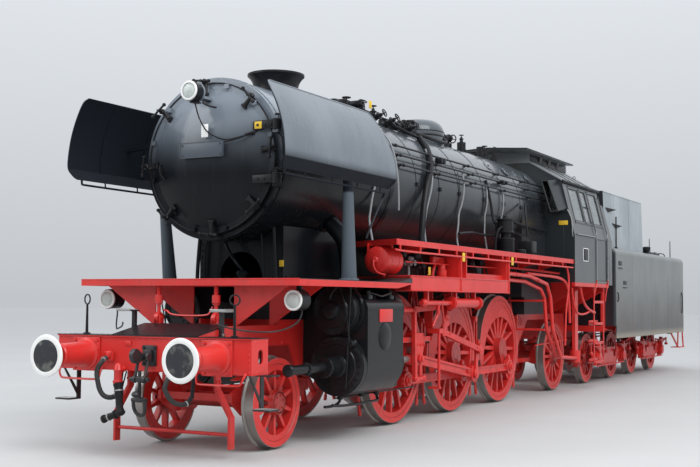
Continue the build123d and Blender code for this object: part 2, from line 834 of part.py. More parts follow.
# Fittings on top of the boiler: superheater valves, generator, safety valves, whistle
top_fittings = (
    # station, y, radius, top
    (5230, 0, 150, 4520),
    (5560, -180, 110, 4420),
    (6250, 0, 120, 4430),
    (6250, 330, 70, 4380),
    (6560, -240, 80, 4440),
    (6560, 240, 90, 4450),
    (8500, 0, 60, 4420),
    (8900, 130, 75, 4420),
    (8900, -130, 75, 4420),
    (10100, 0, 70, 4500),
    (10100, 260, 30, 4400),
)
with BuildPart() as boiler_fittings:
    for station, y, radius, top in top_fittings:
        post(station, y, (4000, top), radius)
        post(station, y, (4000, 4290), radius + 30)
    long_rod((5000, boiler_rear), 0, boiler_height, boiler_radius + 6, Mode.SUBTRACT)
    long_rod((boiler_rear, firebox_rear), 0, boiler_height, boiler_radius, Mode.SUBTRACT)
boiler_fittings.part.label = "boiler_fittings"
export_step(boiler_fittings.part, "parts/boiler_fittings.step")

# Smoke deflectors: tall curved plates beside the smokebox, turned in along the lower edge
deflector_front = 945
deflector_rear = 3570
deflector_plate = 12
with BuildPart() as smoke_deflectors:
    with BuildSketch(cross_plane(deflector_rear)) as bent:
        with BuildLine():
            ThreePointArc((1235, 4010), (1424, 3640), (1490, 3190))
            Line((1490, 3190), (1400, 3065))
            Line((1400, 3065), (1400 - deflector_plate, 3071))
            Line((1400 - deflector_plate, 3071), (1490 - deflector_plate, 3194))
            ThreePointArc(
                (1490 - deflector_plate, 3194),
                (1424 - deflector_plate, 3636),
                (1235 - deflector_plate, 4004),
            )
            Line((1235 - deflector_plate, 4004), (1235, 4010))
        make_face()
    extrude(bent.sketch, amount=deflector_rear - deflector_front)
    # Rounded corners and a rear edge that slopes forward to the top
    outline = [
        (x_at(deflector_front), 3060),
        (x_at(deflector_front), 4015),
        (x_at(3300), 4015),
        (x_at(deflector_rear), 3330),
        (x_at(deflector_rear), 3060),
    ]
    with BuildSketch(side_plane(1600)) as edge:
        with BuildLine():
            Polyline(*outline, close=True)
        make_face()
        fillet(edge.vertices(), 90)
    extrude(edge.sketch, amount=500, mode=Mode.INTERSECT)
    for station in (1950, 3300):
        strut = [(880, 3560), (1440, 3500), (1440, 3540), (880, 3600)]
        cross_plate(strut, (station, station + 40))
    long_rod((1000, 4500), 0, boiler_height, smokebox_radius + 8, Mode.SUBTRACT)
    # Tapered posts from the deck carry the lower edge.
    with BuildSketch(Plane.XY.offset(deck_top)) as foot:
        with Locations((x_at(2675), 1310)):
            Circle(92)
    with BuildSketch(Plane.XY.offset(3110)) as head:
        with Locations((x_at(2560), 1350)):
            Circle(58)
    loft([foot.sketch.faces()[0], head.sketch.faces()[0]])
    mirror(about=Plane.XZ)
smoke_deflectors.part.label = "smoke_deflectors"
export_step(smoke_deflectors.part, "parts/smoke_deflectors.step")

# Lower head lamps on brackets under the deck
with BuildPart() as headlamps:
    for side in (1, -1):
        long_rod((1450, 1640), side * 1290, 1680, 112)
        block((1560, 1600), (side * 1270, side * 1310), (1680, deck_top - deck_plate))
headlamps.part.label = "headlamps"
export_step(headlamps.part, "parts/headlamps.step")

# Cylinders with their valve chests and side casings, bolted to the frame
with BuildPart() as cylinders:
    with BuildSketch(cross_plane(cylinder_rear)) as casing:
        with BuildLine():
            Polyline(
                (cylinder_y, cylinder_height - casing_round),
                (900, 570),
                (780, 700),
                (frame_outer, 800),
                (frame_outer, frame_top),
                (saddle_half, frame_top),
                (saddle_half, 1650),
                (1000, 1700),
                (casing_side - 120, 1700),
            )
            ThreePointArc((casing_side - 120, 1700), (casing_side - 35, 1665), (casing_side, 1580))
            Line((casing_side, 1580), (casing_side, cylinder_height))
            ThreePointArc(
                (casing_side, cylinder_height),
                (cylinder_y + 0.7071 * casing_round, cylinder_height - 0.7071 * casing_round),
                (cylinder_y, cylinder_height - casing_round),
            )
        make_face()
    extrude(casing.sketch, amount=cylinder_rear - cylinder_front)
    # The casing stops short of the slide bars, and the valve chest ends in a round cover.
    block((casing_rear, cylinder_rear), (cylinder_y + 220, casing_side + 1), (500, 1700), Mode.SUBTRACT)
    long_rod((casing_rear - 60, cylinder_rear - 30), cylinder_y, chest_height, chest_flange)
    long_rod((cylinder_front - 90, cylinder_front), cylinder_y, cylinder_height, cylinder_radius + 20)
    long_rod((cylinder_front - 400, cylinder_front - 90), cylinder_y, cylinder_height, 105)
    long_rod((1670, cylinder_front - 400), cylinder_y, cylinder_height, 55)
    long_rod((cylinder_front - 190, cylinder_front), cylinder_y, chest_height, chest_radius)
    long_rod((cylinder_front - 60, cylinder_front), cylinder_y, chest_height, chest_flange)
    long_rod((cylinder_rear, cylinder_rear + 60), cylinder_y + 90, chest_height, chest_radius - 95)
    long_rod((cylinder_rear, cylinder_rear + 130), cylinder_y, cylinder_height, 100)
    mirror(about=Plane.XZ)
cylinders.part.label = "cylinders"
export_step(cylinders.part, "parts/cylinders.step")

# Slide bars above the piston rods, held by a motion plate off the valve gear beam
bar_low = 1130
bar_high = 1195
bar_rear = 5470
with BuildPart() as slidebars:
    block((cylinder_rear, bar_rear), (main_rod_inner, main_rod_outer), (bar_low, bar_high))
    motion_plate = [
        (main_rod_inner, bar_low),
        (main_rod_outer - 10, bar_low),
        (main_rod_outer - 10, valve_beam_low),
        (1000, valve_beam_low),
        (1000, 1400),
    ]
    cross_plate(motion_plate, (bar_rear, bar_rear + 24))
    block((5350, bar_rear + 24), (1100, 1290), (1235, 1300))
    post(5380, 1268, (480, 1240), 20)
    block((5350, 5410), (1120, 1290), (470, 500))
    mirror(about=Plane.XZ)
slidebars.part.label = "slidebars"
export_step(slidebars.part, "parts/slidebars.step")


def crosshead_station(angle):
    """Where the crosshead pin stands for a crank angle."""
    pin_station, pin_height = crank_pin(driver_stations[1], angle)
    rise = cylinder_height - pin_height
    return pin_station - sqrt(main_rod_length**2 - rise**2)


# Crossheads and piston rods
small_end_radius = 78
small_pin_radius = 45
with BuildPart() as crossheads:
    for side, angle in ((1, crank_angle_left), (-1, crank_angle_right)):
        station = crosshead_station(angle)
        y_low = side * (main_rod_inner - 30)
        y_high = side * (main_rod_outer + 30)
        cheek = [
            (station - 230, cylinder_height - 60),
            (station - 230, cylinder_height + 60),
            (station - 180, bar_low - 10),
            (station + 180, bar_low - 10),
            (station + 100, cylinder_height - 40),
            (station + 40, cylinder_height - 90),
            (station - 40, cylinder_height - 90),
        ]
        side_plate(cheek, (y_low, side * (main_rod_inner - 4)))
        side_plate(cheek, (side * (main_rod_outer + 4), y_high))
        block((station - 180, station + 180), (y_low, y_high), (bar_low - 60, bar_low - 4))
        block((station - 240, station - 110), (y_low, y_high), (cylinder_height - 60, cylinder_height + 60))
        cross_rod(station, cylinder_height, (y_low, side * (main_rod_outer + 50)), small_pin_radius)
        for edge in (main_rod_inner - 30, main_rod_outer + 4):
            keeper = (side * edge, side * (edge + 26))
            block((station - 150, station + 150), keeper, (bar_low - 10, bar_high + 50))
        block((station - 150, station + 150), (y_low, y_high), (bar_high + 5, bar_high + 50))
        rod = (cylinder_rear + 130, station - 240)
        long_rod(rod, side * cylinder_y, cylinder_height, 42)
crossheads.part.label = "crossheads"
export_step(crossheads.part, "parts/crossheads.step")

# Main rods from the crossheads to the second driving axle, with return cranks
big_end_radius = 130
return_angles = {1: crank_angle_left + 270, -1: crank_angle_right - 270}
with BuildPart() as main_rods:
    for side, angle in ((1, crank_angle_left), (-1, crank_angle_right)):
        small = (crosshead_station(angle), cylinder_height)
        big = crank_pin(driver_stations[1], angle)
        run = (side * main_rod_inner, side * main_rod_outer)
        bar_run = (side * (main_rod_inner + 10), side * (main_rod_outer - 10))
        rod_bar(small, big, bar_run, 130)
        flute_run = (side * (main_rod_outer - 28), side * main_rod_outer)
        share = 0.12
        flute_start = (small[0] + share * (big[0] - small[0]), small[1] + share * (big[1] - small[1]))
        flute_end = (big[0] - share * (big[0] - small[0]), big[1] - share * (big[1] - small[1]))
        rod_bar(flute_start, flute_end, flute_run, 66, Mode.SUBTRACT)
        cross_rod(small[0], small[1], run, small_end_radius)
        cross_rod(small[0], small[1], run, small_pin_radius, Mode.SUBTRACT)
        cross_rod(big[0], big[1], run, big_end_radius)
        bush = (side * (crank_pin_end + side_gap), side * main_rod_inner)
        cross_rod(big[0], big[1], bush, crank_pin_radius)
        gear_pin = crank_pin(driver_stations[1], return_angles[side], return_crank_throw)
        crank_run = (side * main_rod_outer, side * (main_rod_outer + return_crank_width))
        cross_rod(big[0], big[1], crank_run, 75)
        rod_bar(big, gear_pin, crank_run, 90)
        cross_rod(gear_pin[0], gear_pin[1], (crank_run[0], side * eccentric_rod_outer), 30)
        cross_rod(gear_pin[0], gear_pin[1], crank_run, 60)
main_rods.part.label = "main_rods"
export_step(main_rods.part, "parts/main_rods.step")

# Valve gear: eccentric rod, expansion link, radius rod, combination lever, union link
link_station = 5800
link_pivot_height = 1600
link_foot = (5640, 1250)
lever_top = (4700, chest_height)
with BuildPart() as valve_gear:
    for side, angle in ((1, crank_angle_left), (-1, crank_angle_right)):
        gear_pin = crank_pin(driver_stations[1], return_angles[side], return_crank_throw)
        run = (side * eccentric_rod_inner, side * eccentric_rod_outer)
        rod_bar(gear_pin, link_foot, run, 80)
        cross_rod(gear_pin[0], gear_pin[1], run, 68)
        cross_rod(gear_pin[0], gear_pin[1], run, 30, Mode.SUBTRACT)
        cross_rod(link_foot[0], link_foot[1], run, 62)
        link = [
            (link_station - 60, 1330),
            (link_station + 30, 1330),
            (link_station + 60, link_pivot_height),
            (link_station + 30, 1790),
            (link_station - 60, 1790),
            (link_station - 30, link_pivot_height),
        ]
        side_plate(link, run)
        rod_bar(link_foot, (link_station - 20, 1400), run, 90)
        cross_rod(link_station, link_pivot_height, run, 85)
        radius_run = (side * (eccentric_rod_inner - 40), side * (eccentric_rod_inner - 5))
        rod_bar((link_station, link_pivot_height), lever_top, radius_run, 70)
        cross_rod(lever_top[0], lever_top[1], (radius_run[0], side * eccentric_rod_outer), 46)
        cross_rod(link_station, link_pivot_height, (radius_run[0], side * eccentric_rod_inner), 40)
        lever_foot = (lever_top[0] + 30, 640)
        rod_bar(lever_top, lever_foot, run, 60)
        cross_rod(lever_foot[0], lever_foot[1], run, 40)
        cross_foot = (crosshead_station(angle) + 60, 640)
        rod_bar(lever_foot, cross_foot, run, 44)
        cross_rod(cross_foot[0], cross_foot[1], run, 34)
        long_rod((cylinder_rear + 60, lever_top[0] - 46), side * (cylinder_y + 90), chest_height, 36)
        bearing = (link_station - 40, link_station + 40)
        hanger = (side * eccentric_rod_outer, side * (eccentric_rod_outer + 60))
        block(bearing, hanger, (link_pivot_height - 60, valve_beam_top - 18))
valve_gear.part.label = "valve_gear"
export_step(valve_gear.part, "parts/valve_gear.step")

# Valve gear beams: deep outer girders along the drivers with cross brackets inward
with BuildPart() as valve_gear_beams:
    plate = 18
    beam_edge = (board_half_width - plate, board_half_width)
    block((valve_beam_front, valve_beam_rear), beam_edge, (valve_beam_low, valve_beam_top))
    run = (valve_beam_front, valve_beam_rear)
    block(run, (1000, board_half_width - plate), (valve_beam_top - plate, valve_beam_top))
    block(run, (1000, 1000 + plate), (valve_beam_low, valve_beam_top - plate))
    block(run, (1300, board_half_width - plate), (valve_beam_low, valve_beam_low + plate))
    for station in (valve_beam_front + 20, 5470, 5900, valve_beam_rear - 60):
        outline = [
            (frame_outer, 1840),
            (1000, valve_beam_low),
            (board_half_width - plate, valve_beam_low),
            (board_half_width - plate, valve_beam_top - plate),
            (1000, valve_beam_top - plate),
            (frame_outer, valve_beam_top - plate),
        ]
        cross_plate(outline, (station, station + 24))
    # The small round cylinder that shifts the gear hangs under the beam
    for side in (1, -1):
        for first, last, radius in ((4560, 5560, 34), (5560, 6520, 68), (5520, 5600, 84), (6480, 6560, 84)):
            long_rod((first, last), side * 1375, 1655, radius)
        for station in (4700, 5660, 6360):
            block((station, station + 40), (side * 1345, side * 1405), (1655, valve_beam_low))
    for station in (4040, 5900, 7525):
        leg = [
            (frame_inner, frame_top),
            (frame_outer, frame_top),
            (frame_outer + 60, 1992),
            (frame_inner, 1992),
        ]
        cross_plate(leg, (station, station + 24))
    for station in (5900, valve_beam_rear - 60):
        upper = [
            (1080, valve_beam_top),
            (board_half_width - plate, valve_beam_top),
            (board_half_width - plate, board_top - valance),
            (1380, board_top - deck_plate),
            (1080, board_top - deck_plate),
        ]
        cross_plate(upper, (station, station + 24))
    mirror(about=Plane.XZ)
valve_gear_beams.part.label = "valve_gear_beams"
export_step(valve_gear_beams.part, "parts/valve_gear_beams.step")

# Running boards with their valances, cut at an angle in front
with BuildPart() as running_boards:
    board_low = board_top - deck_plate
    outline = [
        (4000, 690),
        (board_front, board_half_width),
        (cab_front, board_half_width),
        (cab_front, firebox_half_width + 70),
        (boiler_rear - 100, firebox_half_width + 70),
        (boiler_rear - 100, 690),
    ]
    plan_plate(outline, (board_low, board_top))
    edge = [
        (board_front + 30, board_top - valance),
        (board_front + 30, board_low),
        (cab_front, board_low),
        (cab_front, board_top - valance),
    ]
    side_plate(edge, (board_half_width - 16, board_half_width))
    front_edge = [
        (4000, 690),
        (board_front, board_half_width),
        (board_front + 18, board_half_width),
        (4018, 690),
    ]
    plan_plate(front_edge, (board_top - valance, board_low))
    mirror(about=Plane.XZ)
running_boards.part.label = "running_boards"
export_step(running_boards.part, "parts/running_boards.step")

# Air reservoirs under the front end of the running boards, one on each side
with BuildPart() as air_tanks:
    for side in (1, -1):
        long_rod((3760, 4150), side * 1130, 2195, 175)
        long_rod((3720, 3760), side * 1130, 2195, 120)
        block((4020, 4080), (side * 1060, side * 1200), (2300, board_low))
air_tanks.part.label = "air_tanks"
export_step(air_tanks.part, "parts/air_tanks.step")

# Air pump on the left and feed pump on the right, standing on the running boards
with BuildPart() as air_pump:
    for side in (1, -1):
        for low, high, radius in ((board_top, 2700, 135), (2700, 2780, 75), (2780, 3010, 125)):
            post(8100, side * 1230, (low, high), radius)
air_pump.part.label = "air_pump"
export_step(air_pump.part, "parts/air_pump.step")

# Handrails and control rods along both sides of the boiler
rail_heights = (
    # height, distance out from the barrel
    (3810, 70),
    (3670, 75),
    (3530, 80),
)
with BuildPart() as boiler_rails:
    for height, out in rail_heights:
        y = sqrt(boiler_radius**2 - (height - boiler_height) ** 2) + out
        long_rod((4700, cab_front), y, height, 14)
        for station in (4800, 6000, 7400, 8700, 10000):
            length = out + 60
            place = Location((x_at(station), y - length / 2, height), (90, 0, 0))
            with Locations(place):
                Cylinder(10, length)
    long_rod((4000, cab_front), 0, boiler_height, boiler_radius + 6, Mode.SUBTRACT)
    mirror(about=Plane.XZ)
boiler_rails.part.label = "boiler_rails"
export_step(boiler_rails.part, "parts/boiler_rails.step")

# Cab shell: bent sides, front and rear walls, with windows and doorways cut
slope = (cab_half_width - gutter_half_width) / (cab_gutter - cab_waist)
shell_low = cab_floor
wall_in = cab_wall
outer_half = [
    (cab_half_width, shell_low),
    (cab_half_width, cab_waist),
    (gutter_half_width, cab_gutter),
    (roof_shoulder_half, roof_shoulder),
]
inner_half = [(y - wall_in, z) for y, z in outer_half[:3]] + [(roof_shoulder_half - 10, roof_shoulder - 32)]


def both_sides(points):
    """A closed front view from its left half."""
    return points + [(-y, z) for y, z in reversed(points)]


with BuildPart() as cab_shell:
    cross_plate(both_sides(outer_half[:3]), (cab_front, cab_rear))
    inside = (cab_front + cab_wall, cab_rear - cab_wall)
    cross_plate(both_sides(inner_half[:3]), inside, Mode.SUBTRACT)
    gable = both_sides(outer_half[2:])
    cross_plate(gable, (cab_front, cab_front + cab_wall))
    cross_plate(gable, (cab_rear - cab_wall, cab_rear))
    front_wall = (cab_front - 5, cab_front + cab_wall + 5)
    backhead = (-firebox_half_width - 10, firebox_half_width + 10)
    block(front_wall, backhead, (cab_floor, 2300), Mode.SUBTRACT)
    with BuildSketch(cross_plane(cab_front + cab_wall + 5)) as firebox_hole:
        with BuildLine():
            ThreePointArc(
                (boiler_radius, boiler_height),
                (0, boiler_height + boiler_radius),
                (-boiler_radius, boiler_height),
            )
            Polyline(
                (-boiler_radius, boiler_height),
                (-firebox_half_width, 2300),
                (-firebox_half_width, cab_floor - 10),
                (firebox_half_width, cab_floor - 10),
                (firebox_half_width, 2300),
                (boiler_radius, boiler_height),
            )
        make_face()
    extrude(firebox_hole.sketch, amount=cab_wall + 10, mode=Mode.SUBTRACT)
    side_windows = (
        # front, rear, low, high
        (11250, 11830, 3190, 3800),
        (11930, 12280, 3190, 3800),
        (12460, 13000, 3190, 3800),
    )
    for side in (1, -1):
        for first, last, low, high in side_windows:
            block((first, last), (side * 1100, side * 1600), (low, high), Mode.SUBTRACT)
        door_height = (cab_floor + cab_floor_thickness, cab_waist)
        block((door_front, door_rear), (side * 1400, side * 1600), door_height, Mode.SUBTRACT)
        block((cab_rear - 60, cab_rear + 60), (side * 420, side * 1080), (3100, 3800), Mode.SUBTRACT)
        window = [(side * 1010, 3350), (side * 1330, 3350), (side * 1190, 3830), (side * 1010, 3830)]
        cross_plate(window, (cab_front - 5, cab_front + cab_wall + 5), Mode.SUBTRACT)
    doorway = (cab_floor + cab_floor_thickness, 3850)
    block((cab_rear - 60, cab_rear + 60), (-360, 360), doorway, Mode.SUBTRACT)
    # Handrails stand off the sides: one each side of the doorway and one along the waist.
    rail_y = cab_half_width + 14
    bend_height = cab_waist + 60
    uprights = (
        # station, top height
        (door_front - 55, 3240),
        (door_rear + 90, 3780),
    )
    for side in (1, -1):
        for station, top in uprights:
            wall_y = cab_half_width - slope * (top - cab_waist)
            route = [
                (station, side * rail_y, cab_floor + 65),
                (station, side * rail_y, bend_height),
                (station, side * (wall_y + 30), top),
            ]
            pipe(route, rail_radius, 60)
            cross_rod(station, top - 20, (side * (wall_y - 5), side * (wall_y + 35)), 8)
            for height in (cab_floor + 95, bend_height - 60):
                cross_rod(station, height, (side * (cab_half_width - 5), side * rail_y), 8)
        long_rod((11080, 12240), side * rail_y, cab_waist + 30, rail_radius)
        for station in (11100, 11660, 12220):
            cross_rod(station, cab_waist + 30, (side * (cab_half_width - 15), side * rail_y), 8)
cab_shell.part.label = "cab_shell"
export_step(cab_shell.part, "parts/cab_shell.step")

# Cab roof: sloping sheets from the gutters, and a raised ventilator hood over the middle
roof_sheet = 24
roof_fall = (roof_shoulder - cab_gutter) / (gutter_half_width - roof_shoulder_half)
eave_half = gutter_half_width + 40
hood_half = 800
hood_drop = 50
hood_low = roof_top - roof_sheet
with BuildPart() as cab_roof:
    eave_height = cab_gutter - 40 * roof_fall
    for side in (1, -1):
        sheet = [
            (side * eave_half, eave_height),
            (side * roof_shoulder_half, roof_shoulder),
            (side * roof_shoulder_half, roof_shoulder + roof_sheet),
            (side * eave_half, eave_height + roof_sheet),
        ]
        cross_plate(sheet, (cab_front - 40, cab_rear + 60))
        fall = hood_drop * roof_shoulder_half / hood_half
        inner = roof_shoulder_half - roof_sheet
        wall = [
            (side * roof_shoulder_half, roof_shoulder),
            (side * roof_shoulder_half, hood_low - fall),
            (side * inner, hood_low - hood_drop * inner / hood_half),
            (side * inner, roof_shoulder),
        ]
        cross_plate(wall, (cab_front, cab_rear))
    gable_fan = [(inner, roof_shoulder), (inner, hood_low - hood_drop * inner / hood_half), (0, hood_low)]
    for end in (cab_front, cab_rear - cab_wall):
        gable = both_sides(gable_fan[:2])
        cross_plate(gable[:2] + [(0, hood_low)] + gable[2:], (end, end + cab_wall))
    hood = [
        (0, hood_low),
        (hood_half, hood_low - hood_drop),
        (hood_half, roof_top - hood_drop),
        (0, roof_top),
    ]
    mirrored_hood = [(-hood_half, roof_top - hood_drop), (-hood_half, hood_low - hood_drop)]
    cross_plate(hood + mirrored_hood, (hood_front, cab_rear - 60))
cab_roof.part.label = "cab_roof"
export_step(cab_roof.part, "parts/cab_roof.step")

# Cab windows: panes set in the bent sides and in the front wall
pane = 8
pane_in = 11
with BuildPart() as cab_windows:
    for first, last, low, high in side_windows:
        points = []
        for z, inset in ((low, pane_in), (high, pane_in), (high, pane_in + pane), (low, pane_in + pane)):
            points.append((cab_half_width - slope * (z - cab_waist) - inset, z))
        cross_plate(points, (first, last))
    window = [(1010, 3350), (1330, 3350), (1190, 3830), (1010, 3830)]
    cross_plate(window, (cab_front + pane_in, cab_front + pane_in + pane))
    block((cab_rear - 20, cab_rear - 20 + pane), (420, 1080), (3100, 3800))
    mirror(about=Plane.XZ)
cab_windows.part.label = "cab_windows"
export_step(cab_windows.part, "parts/cab_windows.step")

# Cab floor with its sill and the carriers that stand on the frame
with BuildPart() as cab_floor_part:
    floor_high = cab_floor + cab_floor_thickness
    floor_half = cab_half_width - cab_wall
    block((cab_front + cab_wall, cab_rear - cab_wall), (-floor_half, floor_half), (cab_floor, floor_high))
    hearth = (-firebox_half_width, firebox_half_width)
    block((cab_front, firebox_rear), hearth, (cab_floor, floor_high), Mode.SUBTRACT)
    for side in (1, -1):
        sill = (side * (cab_half_width - 60), side * cab_half_width)
        block((cab_front, cab_rear), sill, (cab_floor - 70, cab_floor))
    for station in (11400, 12300, cab_rear - 60):
        carrier = [
            (-frame_outer, frame_top),
            (frame_outer, frame_top),
            (cab_half_width - 60, cab_floor - 120),
            (cab_half_width - 60, cab_floor),
            (-cab_half_width + 60, cab_floor),
            (-cab_half_width + 60, cab_floor - 120),
        ]
        cross_plate(carrier, (station, station + 24))
cab_floor_part.part.label = "cab_floor"
export_step(cab_floor_part.part, "parts/cab_floor.step")

# Inside the cab: the boiler's back plate with fire door and controls, and two seats
with BuildPart() as cab_interior:
    block((firebox_rear, firebox_rear + 40), (-700, 700), (floor_high, 4100))
    block((firebox_rear + 40, firebox_rear + 120), (-220, 220), (2350, 2750))
    cross_rod(firebox_rear + 140, 3500, (-350, 350), 25)
    block((firebox_rear + 40, firebox_rear + 165), (-25, 25), (3470, 3530))
    for side in (1, -1):
        post(12150, side * 1180, (floor_high, 2560), 50)
        block((11950, 12350), (side * 980, side * 1380), (2560, 2640))
cab_interior.part.label = "cab_interior"
export_step(cab_interior.part, "parts/cab_interior.step")

# Cab doors: the lower leaves of the side doorways, opening inward on their rear edges
leaf_gap = 8
door_pivot_station = door_rear - 22
door_pivot_y = cab_half_width - cab_wall - 8
for name, side in (("left", 1), ("right", -1)):
    with BuildPart() as cab_door:
        leaf = (side * (cab_half_width - 28), side * (cab_half_width - 2))
        leaf_heights = (floor_high + leaf_gap, cab_waist - leaf_gap)
        block((door_front + leaf_gap, door_rear - leaf_gap), leaf, leaf_heights)
        for height in (2230, 2740):
            post(door_pivot_station, side * door_pivot_y, (height - 30, height + 30), 14)
    cab_door.part.label = f"cab_door_{name}"
    export_step(cab_door.part, f"parts/cab_door_{name}.step")

# Steps under the cab doors
with BuildPart() as cab_steps:
    for station in (12350, 13000):
        block((station - 20, station + 20), (1440, 1456), (510, cab_floor - 70))
    for height in (1270, 900, 530):
        block((12370, 12980), (1330, 1456), (height, height + 16))
    block((12370, 12980), (1440, 1456), (1660, 1710))
    mirror(about=Plane.XZ)
cab_steps.part.label = "cab_steps"
export_step(cab_steps.part, "parts/cab_steps.step")

# Injector pipes: two bent feed pipes under the board, down past the cab to the injector
with BuildPart() as injector_pipes:
    for y, low in ((1350, 0), (1270, 90)):
        route = [
            (7700, y, 2130 - low),
            (8900, y, 2110 - low),
            (9800 - low, y, 1990 - low),
            (10000 - low, y, 1750),
            (10120 - low, y, 1190),
            (10560, y, 700),
            (11500, y, 640),
        ]
        pipe(route, 32, 110)
    block((7700, 7760), (1225, 1395), (1990, board_low))
    post(11560, 1310, (560, 780), 95)
    block((11480, 11660), (1280, 1340), (740, cab_floor))
    mirror(about=Plane.XZ)
injector_pipes.part.label = "injector_pipes"
export_step(injector_pipes.part, "parts/injector_pipes.step")

# Brake gear in the gaps between the driving wheels: shoes, hangers and cross bars
shoe_low = 725
shoe_high = 815
shoe_gap = 10
shoe_depth = 50
with BuildPart() as brake_gear:
    tread = driver_diameter / 2
    axle = axle_height(driver_diameter)
    for front_wheel, rear_wheel in zip(driver_stations, driver_stations[1:]):
        middle = (front_wheel + rear_wheel) / 2
        for wheel, way in ((front_wheel, -1), (rear_wheel, 1)):
            with BuildSketch(side_plane(shoe_high, wheel, axle)) as shoe:
                Circle(tread + shoe_gap + shoe_depth)
                Circle(tread + shoe_gap, mode=Mode.SUBTRACT)
                with Locations((way * (tread + shoe_gap), 0)):
                    Rectangle(260, 330, mode=Mode.INTERSECT)
            extrude(shoe.sketch, amount=shoe_high - shoe_low)
            back = wheel - way * (tread + shoe_gap + shoe_depth - 4)
            hanger = (back, back - way * 30)
            block(hanger, (745, 795), (600, 1430))
        cross_rod(middle, 1400, (frame_outer, 800), 40)
        cross_rod(middle, 600, (0, 800), 22)
        block((middle - 60, middle + 60), (745, 795), (575, 625))
        block((middle - 60, middle + 60), (745, 795), (1370, 1430))
    long_rod((driver_stations[0] + 1022, driver_stations[1] + 978), 300, 600, 16)
    last = driver_stations[-1]
    with BuildSketch(side_plane(shoe_high, last, axle)) as shoe:
        Circle(tread + shoe_gap + shoe_depth)
        Circle(tread + shoe_gap, mode=Mode.SUBTRACT)
        with Locations((-tread - shoe_gap, 0)):
            Rectangle(260, 330, mode=Mode.INTERSECT)
    extrude(shoe.sketch, amount=shoe_high - shoe_low)
    back = last + tread + shoe_gap + shoe_depth - 4
    block((back, back + 30), (745, 795), (600, 1430))
    cross_rod(back + 15, 1400, (frame_outer, 800), 34)
    mirror(about=Plane.XZ)
brake_gear.part.label = "brake_gear"
export_step(brake_gear.part, "parts/brake_gear.step")

# Front steps at the beam ends and behind the beam, and guard irons ahead of the wheels
with BuildPart() as front_steps:
    hanger_y = (beam_half_width - 60, beam_half_width - 44)
    block((beam_box_rear - 60, beam_box_rear), hanger_y, (560, beam_top - 12))
    stay = [
        (frame_front, 900),
        (frame_front, beam_low + 20),
        (beam_box_rear - 30, 620),
        (beam_box_rear - 30, 560),
    ]
    side_plate(stay, hanger_y)
    block((beam_box_rear - 190, beam_box_rear), (beam_half_width - 60, beam_half_width + 150), (544, 560))
    shelf = (beam_half_width - 44, beam_half_width + 150)
    block((beam_box_rear - 160, beam_box_rear), shelf, (beam_low - 14, beam_low))
    iron = [
        (frame_outer, 1240),
        (frame_outer + 28, 1240),
        (frame_outer + 28, 730),
        (790, 430),
        (790, 95),
        (762, 95),
        (762, 420),
        (frame_outer, 715),
    ]
    cross_plate(iron, (1010, 1100))
    cross_rod(1055, 245, (0, 762), 20)
    block((1090, 1130), (frame_outer, frame_outer + 45), (1180, 1545))
    block((970, 1130), (540, 740), (1545, 1560))
    mirror(about=Plane.XZ)
front_steps.part.label = "front_steps"
export_step(front_steps.part, "parts/front_steps.step")


def add_truck(axle_station, diameter, pivot_station):
    """A two-wheel truck: side plates with axle bores, cross bars and a triangle to its pivot."""
    height = axle_height(diameter)
    plates = (truck_plate_inner, truck_plate_outer)
    way = 1 if pivot_station > axle_station else -1
    outline = [
        (axle_station - 450, 540),
        (axle_station - 450, 640),
        (axle_station - 220, height + 210),
        (axle_station + 220, height + 210),
        (axle_station + 450, 640),
        (axle_station + 450, 540),
        (axle_station + 220, height - 150),
        (axle_station - 220, height - 150),
    ]
    bore = axle_radius - 10 + running_gap
    for side in (1, -1):
        run = (side * plates[0], side * plates[1])
        side_plate(outline, run)
        wide = (side * (plates[0] - 40), side * (plates[1] + 40))
        block((axle_station - 130, axle_station + 130), wide, (height - 140, height + 150))
        cross_rod(axle_station, height, wide, bore, Mode.SUBTRACT)
    for bar in (axle_station - 430, axle_station + 380):
        block((bar, bar + 50), (-plates[0], plates[0]), (550, 630))
    root = axle_station + way * 430
    neck = pivot_station - way * 100
    arms = [(root, plates[1]), (neck, 100), (neck, -100), (root, -plates[1])]
    plan_plate(arms, (550, 630))
    inner_root = root + way * 90
    inner_neck = neck - way * 140
    gap = [
        (inner_root, plates[1] - 150),
        (inner_neck, 40),
        (inner_neck, -40),
        (inner_root, -plates[1] + 150),
    ]
    plan_plate(gap, (550, 630), Mode.SUBTRACT)
    post(pivot_station, 0, (520, 680), 140)
    post(pivot_station, 0, (520, 680), pivot_pin_radius + running_gap, Mode.SUBTRACT)


for name, station, diameter, pivot in (
    ("lead_truck", lead_station, lead_diameter, lead_pivot),
    ("trail_truck", trail_station, trail_diameter, trail_pivot),
):
    with BuildPart() as truck:
        add_truck(station, diameter, pivot)
    truck.part.label = name
    export_step(truck.part, f"parts/{name}.step")

